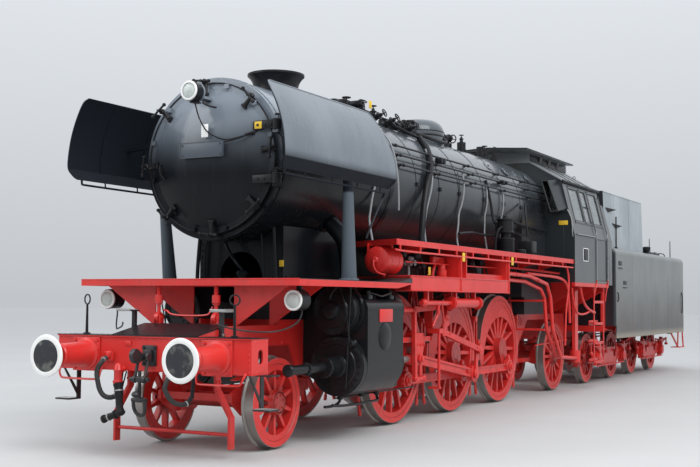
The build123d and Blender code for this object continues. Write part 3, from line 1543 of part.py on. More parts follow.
# Tender bogies: outside plate frames with axleboxes, and a bolster with its centre bowl
centre_pin_radius = 60
bowl_top = underframe_low - side_gap
half_wheelbase = (tender_stations[1] - tender_stations[0]) / 2
for name, centre in (("bogie_front", bogie_centres[0]), ("bogie_rear", bogie_centres[1])):
    with BuildPart() as bogie:
        axle = axle_height(tender_diameter)
        plate_outline = [
            (centre - half_wheelbase - 280, axle - 60),
            (centre - half_wheelbase - 280, axle + 60),
            (centre - half_wheelbase - 120, axle + 200),
            (centre + half_wheelbase + 120, axle + 200),
            (centre + half_wheelbase + 280, axle + 60),
            (centre + half_wheelbase + 280, axle - 60),
            (centre + half_wheelbase - 160, axle - 60),
            (centre + 300, axle - 190),
            (centre - 300, axle - 190),
            (centre - half_wheelbase + 160, axle - 60),
        ]
        plate_run = (bogie_frame_inner, bogie_frame_outer)
        side_plate(plate_outline, plate_run)
        for offset in (-430, 430):
            cross_rod(centre + offset, axle + 60, plate_run, 85, Mode.SUBTRACT)
        for offset in (-half_wheelbase, half_wheelbase):
            place = centre + offset
            box = (bogie_frame_inner, bogie_frame_outer + 24)
            block((place - 120, place + 120), box, (axle - 150, axle + 170))
            cross_rod(place, axle, (bogie_frame_inner, axlebox_outer), 115)
            bore = (bogie_frame_inner, journal_end + 4)
            cross_rod(place, axle, bore, journal_radius + running_gap, Mode.SUBTRACT)
        mirror(about=Plane.XZ)
        bolster = (-bogie_frame_inner, bogie_frame_inner)
        block((centre - 160, centre + 160), bolster, (axle - 60, axle + 190))
        post(centre, 0, (axle + 190, bowl_top), 190)
        post(centre, 0, (axle + 300, bowl_top), centre_pin_radius + running_gap, Mode.SUBTRACT)
    bogie.part.label = name
    export_step(bogie.part, f"parts/{name}.step")

# Tender underframe with its drawbar, centre pins, footplate and rear beam
rear_beam = length_over_buffers - beam_front
tender_nose = 13600
nose_low = tender_diameter + 2 * flange_depth + 24
with BuildPart() as tender_frame:
    for side in (1, -1):
        block((tender_nose, rear_beam - 40), (side * 400, side * 440), (underframe_low, tank_low))
    block((tender_nose, tender_nose + 50), (-1300, 1300), (nose_low, tank_low))
    block((rear_beam - 40, rear_beam), (-beam_half_width, beam_half_width), (beam_low, beam_top))
    for station in (15900, 17200, 20200):
        block((station, station + 60), (-1400, 1400), (underframe_low, tank_low))
    for centre in bogie_centres:
        block((centre - 200, centre + 200), (-1400, 1400), (underframe_low, tank_low))
        post(centre, 0, (axle + 304, underframe_low), centre_pin_radius)
    block((drawbar_station, tender_nose), (-60, 60), (1030, 1140))
    post(drawbar_station, 0, (1030, 1140), 110)
    post(drawbar_station, 0, (1030, 1140), 45 + running_gap, Mode.SUBTRACT)
    block((tender_nose - 40, tender_front), (-1300, 1300), (cab_floor, cab_floor + 24))
    for y in (-1250, 1226):
        block((tender_nose, tender_front), (y, y + 24), (tank_low, cab_floor))
tender_frame.part.label = "tender_frame"
export_step(tender_frame.part, "parts/tender_frame.step")

# Tender tank with rounded shoulders and side skirts
with BuildPart() as tender_tank:
    block((tender_front, tender_rear), (-tank_half_width, tank_half_width), (tank_low, tank_top))
    top_edges = tender_tank.edges().group_by(Axis.Z)[-1].filter_by(Axis.X)
    fillet(top_edges, tank_shoulder)
    fillet(tender_tank.edges().filter_by(Axis.Z), 60)
    for side in (1, -1):
        skirt = (side * (tank_half_width - 25), side * tank_half_width)
        block((tender_front + 60, tender_rear - 60), skirt, (tank_skirt, tank_low))
tender_tank.part.label = "tender_tank"
export_step(tender_tank.part, "parts/tender_tank.step")

# Coal bunker: an open box with leaning sides on the tank top, and a doorway in front
with BuildPart() as coal_bunker:
    bunker_lean = 30
    wall = 24
    outline = [
        (bunker_half_width + bunker_lean, tank_top),
        (bunker_half_width + bunker_lean, tank_top + 60),
        (bunker_half_width, bunker_top),
    ]
    cross_plate(both_sides(outline), (tender_front + 20, bunker_rear))
    hollow = [
        (bunker_half_width + bunker_lean - wall, tank_top + wall),
        (bunker_half_width + bunker_lean - wall, tank_top + 60),
        (bunker_half_width - wall, bunker_top + 1),
    ]
    inside = (tender_front + 20 + wall, bunker_rear - wall)
    cross_plate(both_sides(hollow), inside, Mode.SUBTRACT)
    doorway = (tender_front, tender_front + 60)
    block(doorway, (-380, 380), (tank_top + wall, 3500), Mode.SUBTRACT)
coal_bunker.part.label = "coal_bunker"
export_step(coal_bunker.part, "parts/coal_bunker.step")

# Tender fittings: water fillers, rear lamps, rear ladder
with BuildPart() as tender_fittings:
    for side in (1, -1):
        block((17600, 19300), (side * 620, side * 1120), (tank_top, tank_top + 90))
        long_rod((tender_rear, tender_rear + 130), side * 1050, 1700, 105)
    for y in (-240, 200):
        block((tender_rear + 90, tender_rear + 110), (y, y + 40), (1250, 2900))
        for height in (1300, 2700):
            block((tender_rear, tender_rear + 90), (y, y + 40), (height, height + 40))
    for number in range(5):
        height = 1400 + 320 * number
        block((tender_rear + 92, tender_rear + 108), (-200, 200), (height, height + 24))
tender_fittings.part.label = "tender_fittings"
export_step(tender_fittings.part, "parts/tender_fittings.step")

# Rear buffers, draw hook with its screw coupling, and hoses
with BuildPart() as rear_drawgear:
    for side in (1, -1):
        add_buffer(length_over_buffers, rear_beam, side)
    add_coupling(rear_beam, -1)
    for y, drop, radius in ((330, 260, 26), (-480, 260, 26)):
        add_hose(rear_beam, -1, y, drop, radius)
rear_drawgear.part.label = "rear_drawgear"
export_step(rear_drawgear.part, "parts/rear_drawgear.step")
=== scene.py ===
from math import cos, pi, radians, sin, sqrt

import bmesh
import bpy
from mathutils import Matrix, Vector


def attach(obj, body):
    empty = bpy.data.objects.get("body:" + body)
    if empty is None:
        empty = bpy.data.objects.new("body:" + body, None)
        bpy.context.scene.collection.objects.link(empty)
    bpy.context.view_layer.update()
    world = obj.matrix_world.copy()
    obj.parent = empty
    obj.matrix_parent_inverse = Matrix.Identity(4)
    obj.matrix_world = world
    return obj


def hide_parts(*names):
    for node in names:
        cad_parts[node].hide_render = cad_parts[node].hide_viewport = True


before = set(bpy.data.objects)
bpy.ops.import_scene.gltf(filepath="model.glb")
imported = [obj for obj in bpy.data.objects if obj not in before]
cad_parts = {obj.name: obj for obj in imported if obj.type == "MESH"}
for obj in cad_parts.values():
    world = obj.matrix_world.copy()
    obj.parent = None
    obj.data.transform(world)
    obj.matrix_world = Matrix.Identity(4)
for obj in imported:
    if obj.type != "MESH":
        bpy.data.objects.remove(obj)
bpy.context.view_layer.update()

# Camera: it stood ahead of the left buffer at about the height of the deck and looked back
# along the engine, a little upward. Its focal length is in pixels of the picture's width.
eye = Vector((19.513, 7.553, 1.675))
sensor_width, picture_width, focal_length = 36, 700, 1114.7
heading = radians(-151.593)
pitch = radians(3.464)
roll = radians(0.366)
look = Vector((cos(heading) * cos(pitch), sin(heading) * cos(pitch), sin(pitch)))
level_right = look.cross(Vector((0, 0, 1))).normalized()
level_up = level_right.cross(look)
right = level_right * cos(roll) + level_up * sin(roll)
up = level_up * cos(roll) - level_right * sin(roll)
camera_data = bpy.data.cameras.new("camera")
camera_data.sensor_width = sensor_width
camera_data.lens = sensor_width * focal_length / picture_width
camera_data.clip_end = 500
camera = bpy.data.objects.new("camera", camera_data)
camera.matrix_world = Matrix((right, up, -look)).transposed().to_4x4()
camera.matrix_world.translation = eye
bpy.context.collection.objects.link(camera)
bpy.context.scene.camera = camera
bpy.context.scene.view_settings.view_transform = "Standard"


# Floor: pale poured concrete, a little mottled. Its finish is the first of the node
# materials: a Value is one shader number or colour, and a Finish adds nodes by their type.
class Value:
    """One shader value that Python's own operators can work with."""

    def __init__(self, finish, socket):
        self.finish = finish
        self.socket = socket

    def work(self, operation, first, second):
        return self.finish.node("ShaderNodeMath", {"operation": operation}, {0: first, 1: second})

    def __add__(self, other):
        return self.work("ADD", self, other)

    def __radd__(self, other):
        return self.work("ADD", other, self)

    def __sub__(self, other):
        return self.work("SUBTRACT", self, other)

    def __rsub__(self, other):
        return self.work("SUBTRACT", other, self)

    def __mul__(self, other):
        return self.work("MULTIPLY", self, other)

    def __pow__(self, other):
        return self.work("POWER", self, other)


class Finish:
    """A material under construction, with its Principled shader."""

    def __init__(self, name):
        self.material = bpy.data.materials.new(name)
        self.material.use_nodes = True
        self.tree = self.material.node_tree
        self.shader = self.tree.nodes["Principled BSDF"]

    def put(self, socket, value):
        """Feeds a socket from another value, or sets it."""
        if isinstance(value, Value):
            self.tree.links.new(value.socket, socket)
        else:
            socket.default_value = value

    def node(self, kind, settings=None, inputs=None, output=0):
        """Adds one node: settings first, then its sockets, and gives the asked output."""
        node = self.tree.nodes.new(kind)
        for key, value in (settings or {}).items():
            setattr(node, key, value)
        for key, value in (inputs or {}).items():
            self.put(node.inputs[key], value)
        return Value(self, node.outputs[output])

    def math(self, operation, value):
        """One value through a math node."""
        return self.node("ShaderNodeMath", {"operation": operation}, {0: value})

    def axis(self, letter):
        """One of the object coordinates, X, Y or Z, in metres."""
        here = self.node("ShaderNodeTexCoord", output="Object")
        return self.node("ShaderNodeSeparateXYZ", None, {0: here}, output=letter)

    def noise(self, size, stretch=(1, 1, 1), detail=4, rough=0.55):
        """Cloudy noise whose blotches are about a size in metres."""
        here = self.node("ShaderNodeTexCoord", output="Object")
        spread = self.node("ShaderNodeMapping", None, {"Vector": here, "Scale": stretch})
        inputs = {"Vector": spread, "Scale": 1 / size, "Detail": detail, "Roughness": rough}
        return self.node("ShaderNodeTexNoise", None, inputs)

    def band(self, value, low, high):
        """Zero below low, one above high and smooth between."""
        settings = {"interpolation_type": "SMOOTHSTEP"}
        return self.node("ShaderNodeMapRange", settings, {"Value": value, "From Min": low, "From Max": high})

    def blend(self, factor, first, second):
        """A colour between two colours."""
        settings = {"data_type": "RGBA"}
        return self.node("ShaderNodeMix", settings, {0: factor, 6: first, 7: second}, output=2)

    def bump(self, value, depth):
        """Raises the surface by a depth in metres where the value is one."""
        raised = self.node("ShaderNodeBump", {}, {"Height": value, "Distance": depth, "Strength": 1.0})
        self.put(self.shader.inputs["Normal"], raised)

    def set(self, **sockets):
        """Sets or links the Principled shader's sockets by name, with _ for a space."""
        for key, value in sockets.items():
            self.put(self.shader.inputs[key.replace("_", " ")], value)


def rgb(red, green, blue):
    """A colour from its red, green and blue."""
    return (red, green, blue, 1)


ground = bmesh.new()
bmesh.ops.create_grid(ground, x_segments=1, y_segments=1, size=150)
floor_mesh = bpy.data.meshes.new("floor")
ground.to_mesh(floor_mesh)
floor = bpy.data.objects.new("floor", floor_mesh)
bpy.context.collection.objects.link(floor)
concrete = Finish("concrete")
mottle = concrete.noise(1.6, detail=6)
concrete.set(Base_Color=concrete.blend(mottle, rgb(0.44, 0.44, 0.436), rgb(0.50, 0.50, 0.496)), Roughness=0.9)
floor_mesh.materials.append(concrete.material)

# Studio light: a pale surround that grows brighter overhead, a large soft key above the left
# front and a weaker fill from the right, far enough away to leave no hard edge on the paint.
world = bpy.data.worlds.new("studio")
world.use_nodes = True
bpy.context.scene.world = world
surround = world.node_tree.nodes
surround["Background"].inputs["Color"].default_value = rgb(0.86, 0.90, 0.95)
direction = surround.new("ShaderNodeTexCoord")
split = surround.new("ShaderNodeSeparateXYZ")
climb = surround.new("ShaderNodeMapRange")
climb.inputs["To Min"].default_value = 0.62
climb.inputs["To Max"].default_value = 1.60
world.node_tree.links.new(direction.outputs["Generated"], split.inputs[0])
world.node_tree.links.new(split.outputs["Z"], climb.inputs["Value"])
world.node_tree.links.new(climb.outputs["Result"], surround["Background"].inputs["Strength"])
for name, place, size, power in (
    ("key_lamp", (14, 20, 22), 20, 6200),
    ("fill_lamp", (24, -16, 14), 12, 1600),
):
    lamp_data = bpy.data.lights.new(name, "AREA")
    lamp_data.size = size
    lamp_data.energy = power
    lamp = bpy.data.objects.new(name, lamp_data)
    lamp.location = place
    aim = Vector((0, 0, 2)) - Vector(place)
    lamp.rotation_euler = aim.to_track_quat("-Z", "Y").to_euler()
    bpy.context.collection.objects.link(lamp)


# Main frame, buffer beam and deck edges: bright red satin paint brushed on steel plate. It
# fades in patches, runs with rain below edges and gathers brown dust near the floor.
def satin_paint(
    name, colour, faded, grime, grime_top, gloss=0.38, coat=0.0, relief=0.0006, shine=0.4, painted_sky_highlight=None,
):
    """Brushed paint on steel: patchy fading, rain streaks, road dust below and, when asked, a painted pale
    sky highlight over the top.
    """
    paint = Finish(name)
    patches = paint.band(paint.noise(0.9), 0.35, 0.7)
    streaks = paint.band(paint.noise(0.10, (1, 1, 0.12), 5), 0.48, 0.74)
    specks = paint.noise(0.012, detail=3)
    dust = 1 - paint.band(paint.axis("Z") + paint.noise(0.35) * 0.5, 0.25, grime_top)
    base = paint.blend(patches * 0.5, colour, faded)
    base = paint.blend(streaks * 0.16, base, grime)
    base = paint.blend(dust * paint.band(specks, 0.3, 0.75) * 0.42, base, grime)
    # Painted sky highlight: above a height the colour blends to a pale blue-grey and the coat grows, standing
    # in for the sky's reflection.
    if painted_sky_highlight:
        low, high, pale = painted_sky_highlight
        height = paint.band(paint.axis("Z") + patches * 0.12, low, high)
        base = paint.blend(height, base, pale)
        coat = coat + height * 0.5
    paint.bump(specks + patches * 0.3, relief)
    paint.set(Base_Color=base, Roughness=gloss + dust * 0.22 + streaks * 0.08 + specks * 0.06)
    paint.set(Coat_Weight=coat, Coat_Roughness=0.12, Specular_IOR_Level=shine)
    return paint


def dress(finish, *names):
    """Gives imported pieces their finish."""
    for name in names:
        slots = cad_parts[name].data.materials
        slots.clear()
        slots.append(finish.material)


frame_red = satin_paint(
    "frame_red", rgb(0.58, 0.020, 0.017), rgb(0.66, 0.045, 0.036), rgb(0.14, 0.038, 0.026), 1.2, 0.33, 0.2
)
dress(frame_red, "main_frame", "axleboxes", "buffer_beam", "valve_gear_beams", "running_boards")
dress(frame_red, "air_tanks", "injector_pipes", "brake_gear", "lead_truck", "trail_truck")
dress(frame_red, "cab_floor", "bogie_front", "bogie_rear", "tender_frame")


# Measures that several sections share: half the length over the buffers in metres, and in
# millimetres the heights of the boiler's and the driving axles' centres and the barrel's radius.
half_length = 10.6625
boiler_height, axle_height, barrel_radius = 3320, 903, 940


def way(forward, left, upward):
    """A direction by its forward, left and upward parts."""
    return Vector((forward, left, upward)).normalized()


class Work:
    """A mesh under construction. A place is a station behind the front buffers, a distance to
    the side and a height, in millimetres. With side at -1 everything lands mirrored, on the right."""

    def __init__(self, side=1):
        self.mesh = bmesh.new()
        self.side = side

    def spot(self, place):
        """A place as a point in metres."""
        station, aside, height = place
        return Vector((half_length - station / 1000, self.side * aside / 1000, height / 1000))

    def facing(self, direction):
        """A direction on the side that is being built."""
        return Vector((direction[0], self.side * direction[1], direction[2]))

    def around(self, axis):
        """Two directions square to an axis and to each other."""
        out = self.facing(axis).orthogonal().normalized()
        return self.facing(out), self.facing(self.facing(axis).cross(out))

    def ease(self, points, width, segments=2):
        """Rounds the edges between points by a width in millimetres."""
        edges = {edge for point in points for edge in point.link_edges}
        bmesh.ops.bevel(
            self.mesh, geom=list(edges), offset=width / 1000, segments=segments,
            profile=0.5, affect="EDGES", material=-1,
        )

    def block(self, stations, sides, heights, soft=0):
        """A box between two stations, sides and heights, with softened edges on request."""
        first, last = (self.spot(corner) for corner in zip(stations, sides, heights))
        size = [abs(number) for number in last - first]
        matrix = Matrix.Translation((first + last) / 2) @ Matrix.Diagonal((*size, 1))
        made = bmesh.ops.create_cube(self.mesh, size=1, matrix=matrix)
        if soft:
            self.ease(made["verts"], soft)

    def rod(self, start, end, radius, tip=None, sides=12):
        """A round bar between two places, tapered on request."""
        start, end = self.spot(start), self.spot(end)
        run = end - start
        turn = run.to_track_quat("Z", "Y").to_matrix().to_4x4()
        bmesh.ops.create_cone(
            self.mesh, cap_ends=True, segments=sides, radius1=radius / 1000,
            radius2=(radius if tip is None else tip) / 1000, depth=run.length,
            matrix=Matrix.Translation((start + end) / 2) @ turn,
        )

    def turned(self, rows, base, axis, steps=32, closed=False):
        """A shape turned about an axis, from rows of distance along it and radius."""
        self.mesh.verts.ensure_lookup_table()
        first = len(self.mesh.verts)
        axis, centre = self.facing(axis), self.spot(base)
        out = axis.orthogonal().normalized()
        points = [
            self.mesh.verts.new(centre + axis * (along / 1000) + out * (radius / 1000))
            for along, radius in rows
        ]
        ends = points[1:] + points[:1] if closed else points[1:]
        edges = [self.mesh.edges.new(pair) for pair in zip(points, ends)]
        bmesh.ops.spin(
            self.mesh, geom=points + edges, cent=centre, axis=axis, angle=2 * pi, steps=steps, use_merge=True,
        )
        self.mesh.verts.ensure_lookup_table()
        fresh = self.mesh.verts[first:]
        bmesh.ops.remove_doubles(self.mesh, verts=fresh, dist=0.00002)

    def ring(self, base, axis, radius, wire, steps=24):
        """A round hoop of wire."""
        rows = [(wire * cos(pi * n / 3), radius + wire * sin(pi * n / 3)) for n in range(6)]
        self.turned(rows, base, axis, steps, closed=True)

    def plate(self, places, thick, soft=0):
        """A flat plate from its corners, made thick along a forward, left and upward run."""
        points = [self.mesh.verts.new(self.spot(place)) for place in places]
        face = self.mesh.faces.new(points)
        made = bmesh.ops.extrude_face_region(self.mesh, geom=[face])
        moved = [item for item in made["geom"] if isinstance(item, bmesh.types.BMVert)]
        bmesh.ops.translate(self.mesh, verts=moved, vec=self.facing(thick) / 1000)
        if soft:
            self.ease(points + moved, soft, 1)

    def tube(self, places, radius, bend=1):
        """A round tube along a smooth line led by places."""
        curve = bpy.data.curves.new("route", "CURVE")
        curve.dimensions = "3D"
        curve.bevel_depth = radius / 1000
        curve.bevel_resolution = bend
        curve.resolution_u = 5
        curve.use_fill_caps = True
        line = curve.splines.new("NURBS")
        line.points.add(len(places) - 1)
        for point, place in zip(line.points, places):
            point.co = (*self.spot(place), 1)
        line.order_u = 3
        line.use_endpoint_u = True
        route = bpy.data.objects.new("route", curve)
        drawn = bpy.data.meshes.new_from_object(route)
        self.mesh.from_mesh(drawn)
        bpy.data.objects.remove(route)
        bpy.data.curves.remove(curve)
        bpy.data.meshes.remove(drawn)

    def bolt(self, place, axis, across=26, high=14):
        """A hexagon bolt head on a washer."""
        base, axis = self.spot(place), self.facing(axis)
        turn = axis.to_track_quat("Z", "Y").to_matrix().to_4x4()
        for sides, radius, low, top in ((8, 0.66 * across, 0, 3), (6, 0.5 * across, 3, high)):
            middle = base + axis * ((low + top) / 2000)
            bmesh.ops.create_cone(
                self.mesh, cap_ends=True, segments=sides, radius1=radius / 1000,
                radius2=radius / 1000, depth=(top - low) / 1000, matrix=Matrix.Translation(middle) @ turn,
            )

    def rivet(self, place, axis, radius=10):
        """A low domed rivet head."""
        axis = self.facing(axis)
        turn = axis.to_track_quat("Z", "Y").to_matrix().to_4x4()
        middle = self.spot(place) + axis * (radius / 4000)
        bmesh.ops.create_cone(
            self.mesh, cap_ends=True, segments=8, radius1=radius / 1000, radius2=radius / 1900,
            depth=radius / 2000, matrix=Matrix.Translation(middle) @ turn,
        )

    def row(self, kind, start, end, count, axis, size):
        """A straight row of bolts or rivets."""
        for number in range(count):
            share = number / max(count - 1, 1)
            place = [a + (b - a) * share for a, b in zip(start, end)]
            kind(place, axis, size)

    def circle(self, kind, centre, axis, radius, count, size, turn=0):
        """A circle of bolts or rivets about a centre."""
        out, over = self.around(axis)
        for number in range(count):
            angle = 2 * pi * number / count + turn
            shift = (out * cos(angle) + over * sin(angle)) * radius
            kind((centre[0] - shift.x, centre[1] + shift.y, centre[2] + shift.z), axis, size)

    def bolts(self, *row):
        """A straight row of bolts."""
        self.row(self.bolt, *row)

    def rivets(self, *row):
        """A straight row of rivets."""
        self.row(self.rivet, *row)

    def bolt_circle(self, *circle):
        """A circle of bolts."""
        self.circle(self.bolt, *circle)

    def fit(self, name, finish, body, slot=None):
        """Closes the mesh, smooths its round faces and fixes the piece to its body."""
        bmesh.ops.recalc_face_normals(self.mesh, faces=self.mesh.faces[:])
        for face in self.mesh.faces:
            face.smooth = True
        for edge in self.mesh.edges:
            edge.smooth = edge.calc_face_angle(0) < 0.6
        mesh = bpy.data.meshes.new(name)
        self.mesh.to_mesh(mesh)
        self.mesh.free()
        mesh.materials.append(finish.material)
        piece = bpy.data.objects.new(name, mesh)
        bpy.context.collection.objects.link(piece)
        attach(piece, body)
        return piece


def both_sides(*works):
    """Repeats the lines that follow for the left side and, mirrored, for the right side."""
    for side in (1, -1):
        for work in works:
            work.side = side
        yield
    for work in works:
        work.side = 1


forward, backward = way(1, 0, 0), way(-1, 0, 0)
left, upward, downward = way(0, 1, 0), way(0, 0, 1), way(0, 0, -1)

# Buffer beam trim: bolted seats behind the buffers, rivet rows, pads and the hose cocks'
# casting. All red like the beam, pressed or riveted on; the cap strip along its top is black.
trim = Work()
for _ in both_sides(trim):
    trim.block((632, 650), (685, 1065), (892, 1264), 6)
    for y in (717, 1033):
        trim.bolts((632, y, 925), (632, y, 1230), 4, forward, 34)
    trim.rivets((650, 1262, 940), (650, 1262, 1240), 6, forward, 11)
    trim.rivets((650, 1262, 930), (650, 200, 930), 15, forward, 10)
    trim.rivets((650, 640, 1248), (650, 60, 1248), 8, forward, 10)
    for z in (1245, 935):
        trim.rivets((720, 1290, z), (930, 1290, z), 4, left, 10)
    # A shunter's rail hangs in front of the beam below each buffer.
    rail = [(640, 1235, 930), (600, 1235, 900), (590, 1200, 815), (590, 1150, 805)]
    rail += [(590, 700, 805), (590, 650, 812), (600, 640, 900), (640, 640, 930)]
    trim.tube(rail, 12)
for y, wide in ((-546, 120), (500, 90)):
    trim.block((610, 650), (y - wide / 2, y + wide / 2), (1010, 1110), 10)
    trim.bolts((610, y - wide / 2 + 16, 1092), (610, y + wide / 2 - 16, 1092), 2, forward, 22)
trim.block((636, 650), (-330, -250), (1180, 1230), 5)
trim.rod((690, -360, 925), (650, -360, 925), 24)
trim.fit("beam_trim", frame_red, "locomotive", "red_frame")

works_black = satin_paint(
    "works_black", rgb(0.010, 0.010, 0.012), rgb(0.022, 0.023, 0.026), rgb(0.050, 0.040, 0.034), 1.3, 0.30,
    shine=0.18,
)
dress(works_black, "front_hoses", "headlamps", "ashpan")
cap = Work()
cap.block((626, 700), (-1302, 1302), (1282, 1290), 3)
for _ in both_sides(cap):
    cap.block((700, 960), (590, 1302), (1282, 1288), 2)
cap.plate([(700, -575, 1286), (700, 575, 1286), (1260, 575, 1402), (1260, -575, 1402)], (0, 0, 10))
cap.rivets((640, -1270, 1290), (640, 1270, 1290), 34, upward, 8)
cap.fit("beam_cap", works_black, "locomotive", "black_paint")

# Buffers: turned steel sockets bolted to the beam, plungers and flat round discs. The disc
# is black inside a white painted ring, with pale grease rubbed over its middle.
buffer_side, buffer_height = 875, 1078
buffer_rows = (
    # end, face station, direction to the beam, body it rides on
    ("front", 0, 1, "locomotive"),
    ("rear", 21325, -1, "tender"),
)
disc_black = paint = Finish("disc_black")
smear = paint.band(paint.noise(0.16, detail=5, rough=0.6), 0.50, 0.62)
ground_in = paint.noise(0.02, detail=3)
paint.bump(ground_in, 0.0008)
paint.set(
    Base_Color=paint.blend(smear * 0.45, rgb(0.012, 0.014, 0.019), rgb(0.20, 0.20, 0.17)),
    Roughness=0.32 + smear * 0.3 + ground_in * 0.1,
)
white_paint = satin_paint(
    "white_paint", rgb(0.80, 0.80, 0.78), rgb(0.70, 0.70, 0.67), rgb(0.42, 0.40, 0.36), 0.9, 0.36
)
for end, face, turn, body in buffer_rows:
    sockets, discs, rings = Work(), Work(), Work()
    axis = way(-turn, 0, 0)
    for _ in both_sides(sockets, discs, rings):
        base = (face, buffer_side, buffer_height)
        sockets.turned(
            [(178, 0), (178, 88), (186, 112), (196, 118), (206, 121), (212, 112), (222, 112), (228, 122),
             (430, 130), (560, 138), (604, 152), (618, 176), (640, 180), (649, 180), (649, 0)],
            base, axis, 40,
        )
        sockets.bolt_circle((face + turn * 628, buffer_side, buffer_height), -axis, 160, 8, 24, 0.39)
        discs.turned([(4, 0), (2, 60), (3, 150), (6, 171), (12, 172)], base, axis, 48)
        discs.turned([(24, 224), (32, 216), (44, 130), (60, 88), (182, 86), (182, 0)], base, axis, 40)
        rings.turned(
            [(12, 168), (5, 170), (3, 180), (4, 206), (9, 220), (18, 225), (26, 223), (26, 168)],
            base, axis, 64, closed=True,
        )
    sockets.fit(f"{end}_buffer_sockets", frame_red, body, "red_frame")
    discs.fit(f"{end}_buffer_discs", disc_black, body, "black_paint")
    rings.fit(f"{end}_buffer_rings", white_paint, body)

# Couplings: forged black draw hook in a bolted guide plate, with two pairs of links, their
# cross pins and the threaded spindle with its weighted handle. They hang by their own weight.
forged_black = paint = Finish("forged_black")
scale = paint.noise(0.03, detail=6, rough=0.65)
rust = paint.band(paint.noise(0.12, detail=5), 0.58, 0.72)
paint.bump(scale, 0.0012)
paint.set(
    Base_Color=paint.blend(rust * 0.5, rgb(0.016, 0.016, 0.018), rgb(0.07, 0.04, 0.026)),
    Roughness=0.30 + scale * 0.25,
)


def clear_of(beam, turn):
    """Gives a function for the station that lies a run outside an end's beam."""
    return lambda run: beam - turn * run


end_rows = (
    # end, station of the beam, direction to the rear, body it rides on
    ("front", 650, 1, "locomotive"),
    ("rear", 20675, -1, "tender"),
)
for end, beam, turn, body in end_rows:
    hook, out = Work(), clear_of(beam, turn)
    hook.block((out(0), out(22)), (-92, 92), (968, 1190), 8)
    hook.block((out(22), out(60)), (-52, 52), (1010, 1146), 12)
    for y in (-72, 72):
        hook.bolts((out(22), y, 992), (out(22), y, 1166), 2, way(turn, 0, 0), 30)
    shank = [(20, 1042), (20, 1114), (150, 1106), (190, 1136), (232, 1162), (284, 1160), (318, 1128)]
    shank += [(328, 1092), (318, 1050), (292, 1020), (244, 1004), (190, 1012), (150, 1034)]
    hook.plate([(out(run), -27, z) for run, z in shank], (0, 54, 0), 9)
    # The shackle hangs from the hook's pin and carries the upper nut block.
    hook.rod((out(112), -78, 1068), (out(112), 78, 1068), 24, sides=16)
    for y in (-64, 64):
        hook.turned(
            [(-16, 0), (-16, 40), (-10, 46), (10, 46), (16, 40), (16, 0)], (out(112), y, 1068), left, 20,
        )
        hook.rod((out(112), y, 1060), (out(168), y, 850), 17, sides=12)
        hook.turned(
            [(-20, 0), (-20, 34), (-14, 40), (14, 40), (20, 34), (20, 0)], (out(170), y, 838), left, 20,
        )
    hook.rod((out(170), -120, 838), (out(170), 120, 838), 23, sides=16)
    hook.block((out(144), out(196)), (-46, 46), (808, 868), 12)
    # The spindle runs down from the nut block, with its handle and weight at the middle.
    hook.rod((out(170), 0, 930), (out(170), 0, 600), 19, sides=16)
    for level in range(12):
        hook.turned([(0, 18), (5, 24), (10, 18)], (out(170), 0, 620 + 14 * level), upward, 16)
    hook.rod((out(170), 0, 792), (out(250), 20, 700), 11)
    hook.turned(
        [(-34, 0), (-30, 22), (-16, 38), (0, 44), (16, 38), (30, 22), (34, 0)],
        (out(262), 24, 688), upward, 20,
    )
    hook.block((out(146), out(194)), (-40, 40), (596, 650), 12)
    hook.rod((out(170), -96, 622), (out(170), 96, 622), 21, sides=16)
    bow = [(out(170), -78, 622), (out(172), -80, 560), (out(150), -60, 478), (out(140), 0, 452)]
    bow += [(out(150), 60, 478), (out(172), 80, 560), (out(170), 78, 622)]
    hook.tube(bow, 19, 2)
    hook.fit(f"{end}_screw_coupling", forged_black, body, "black_steel")

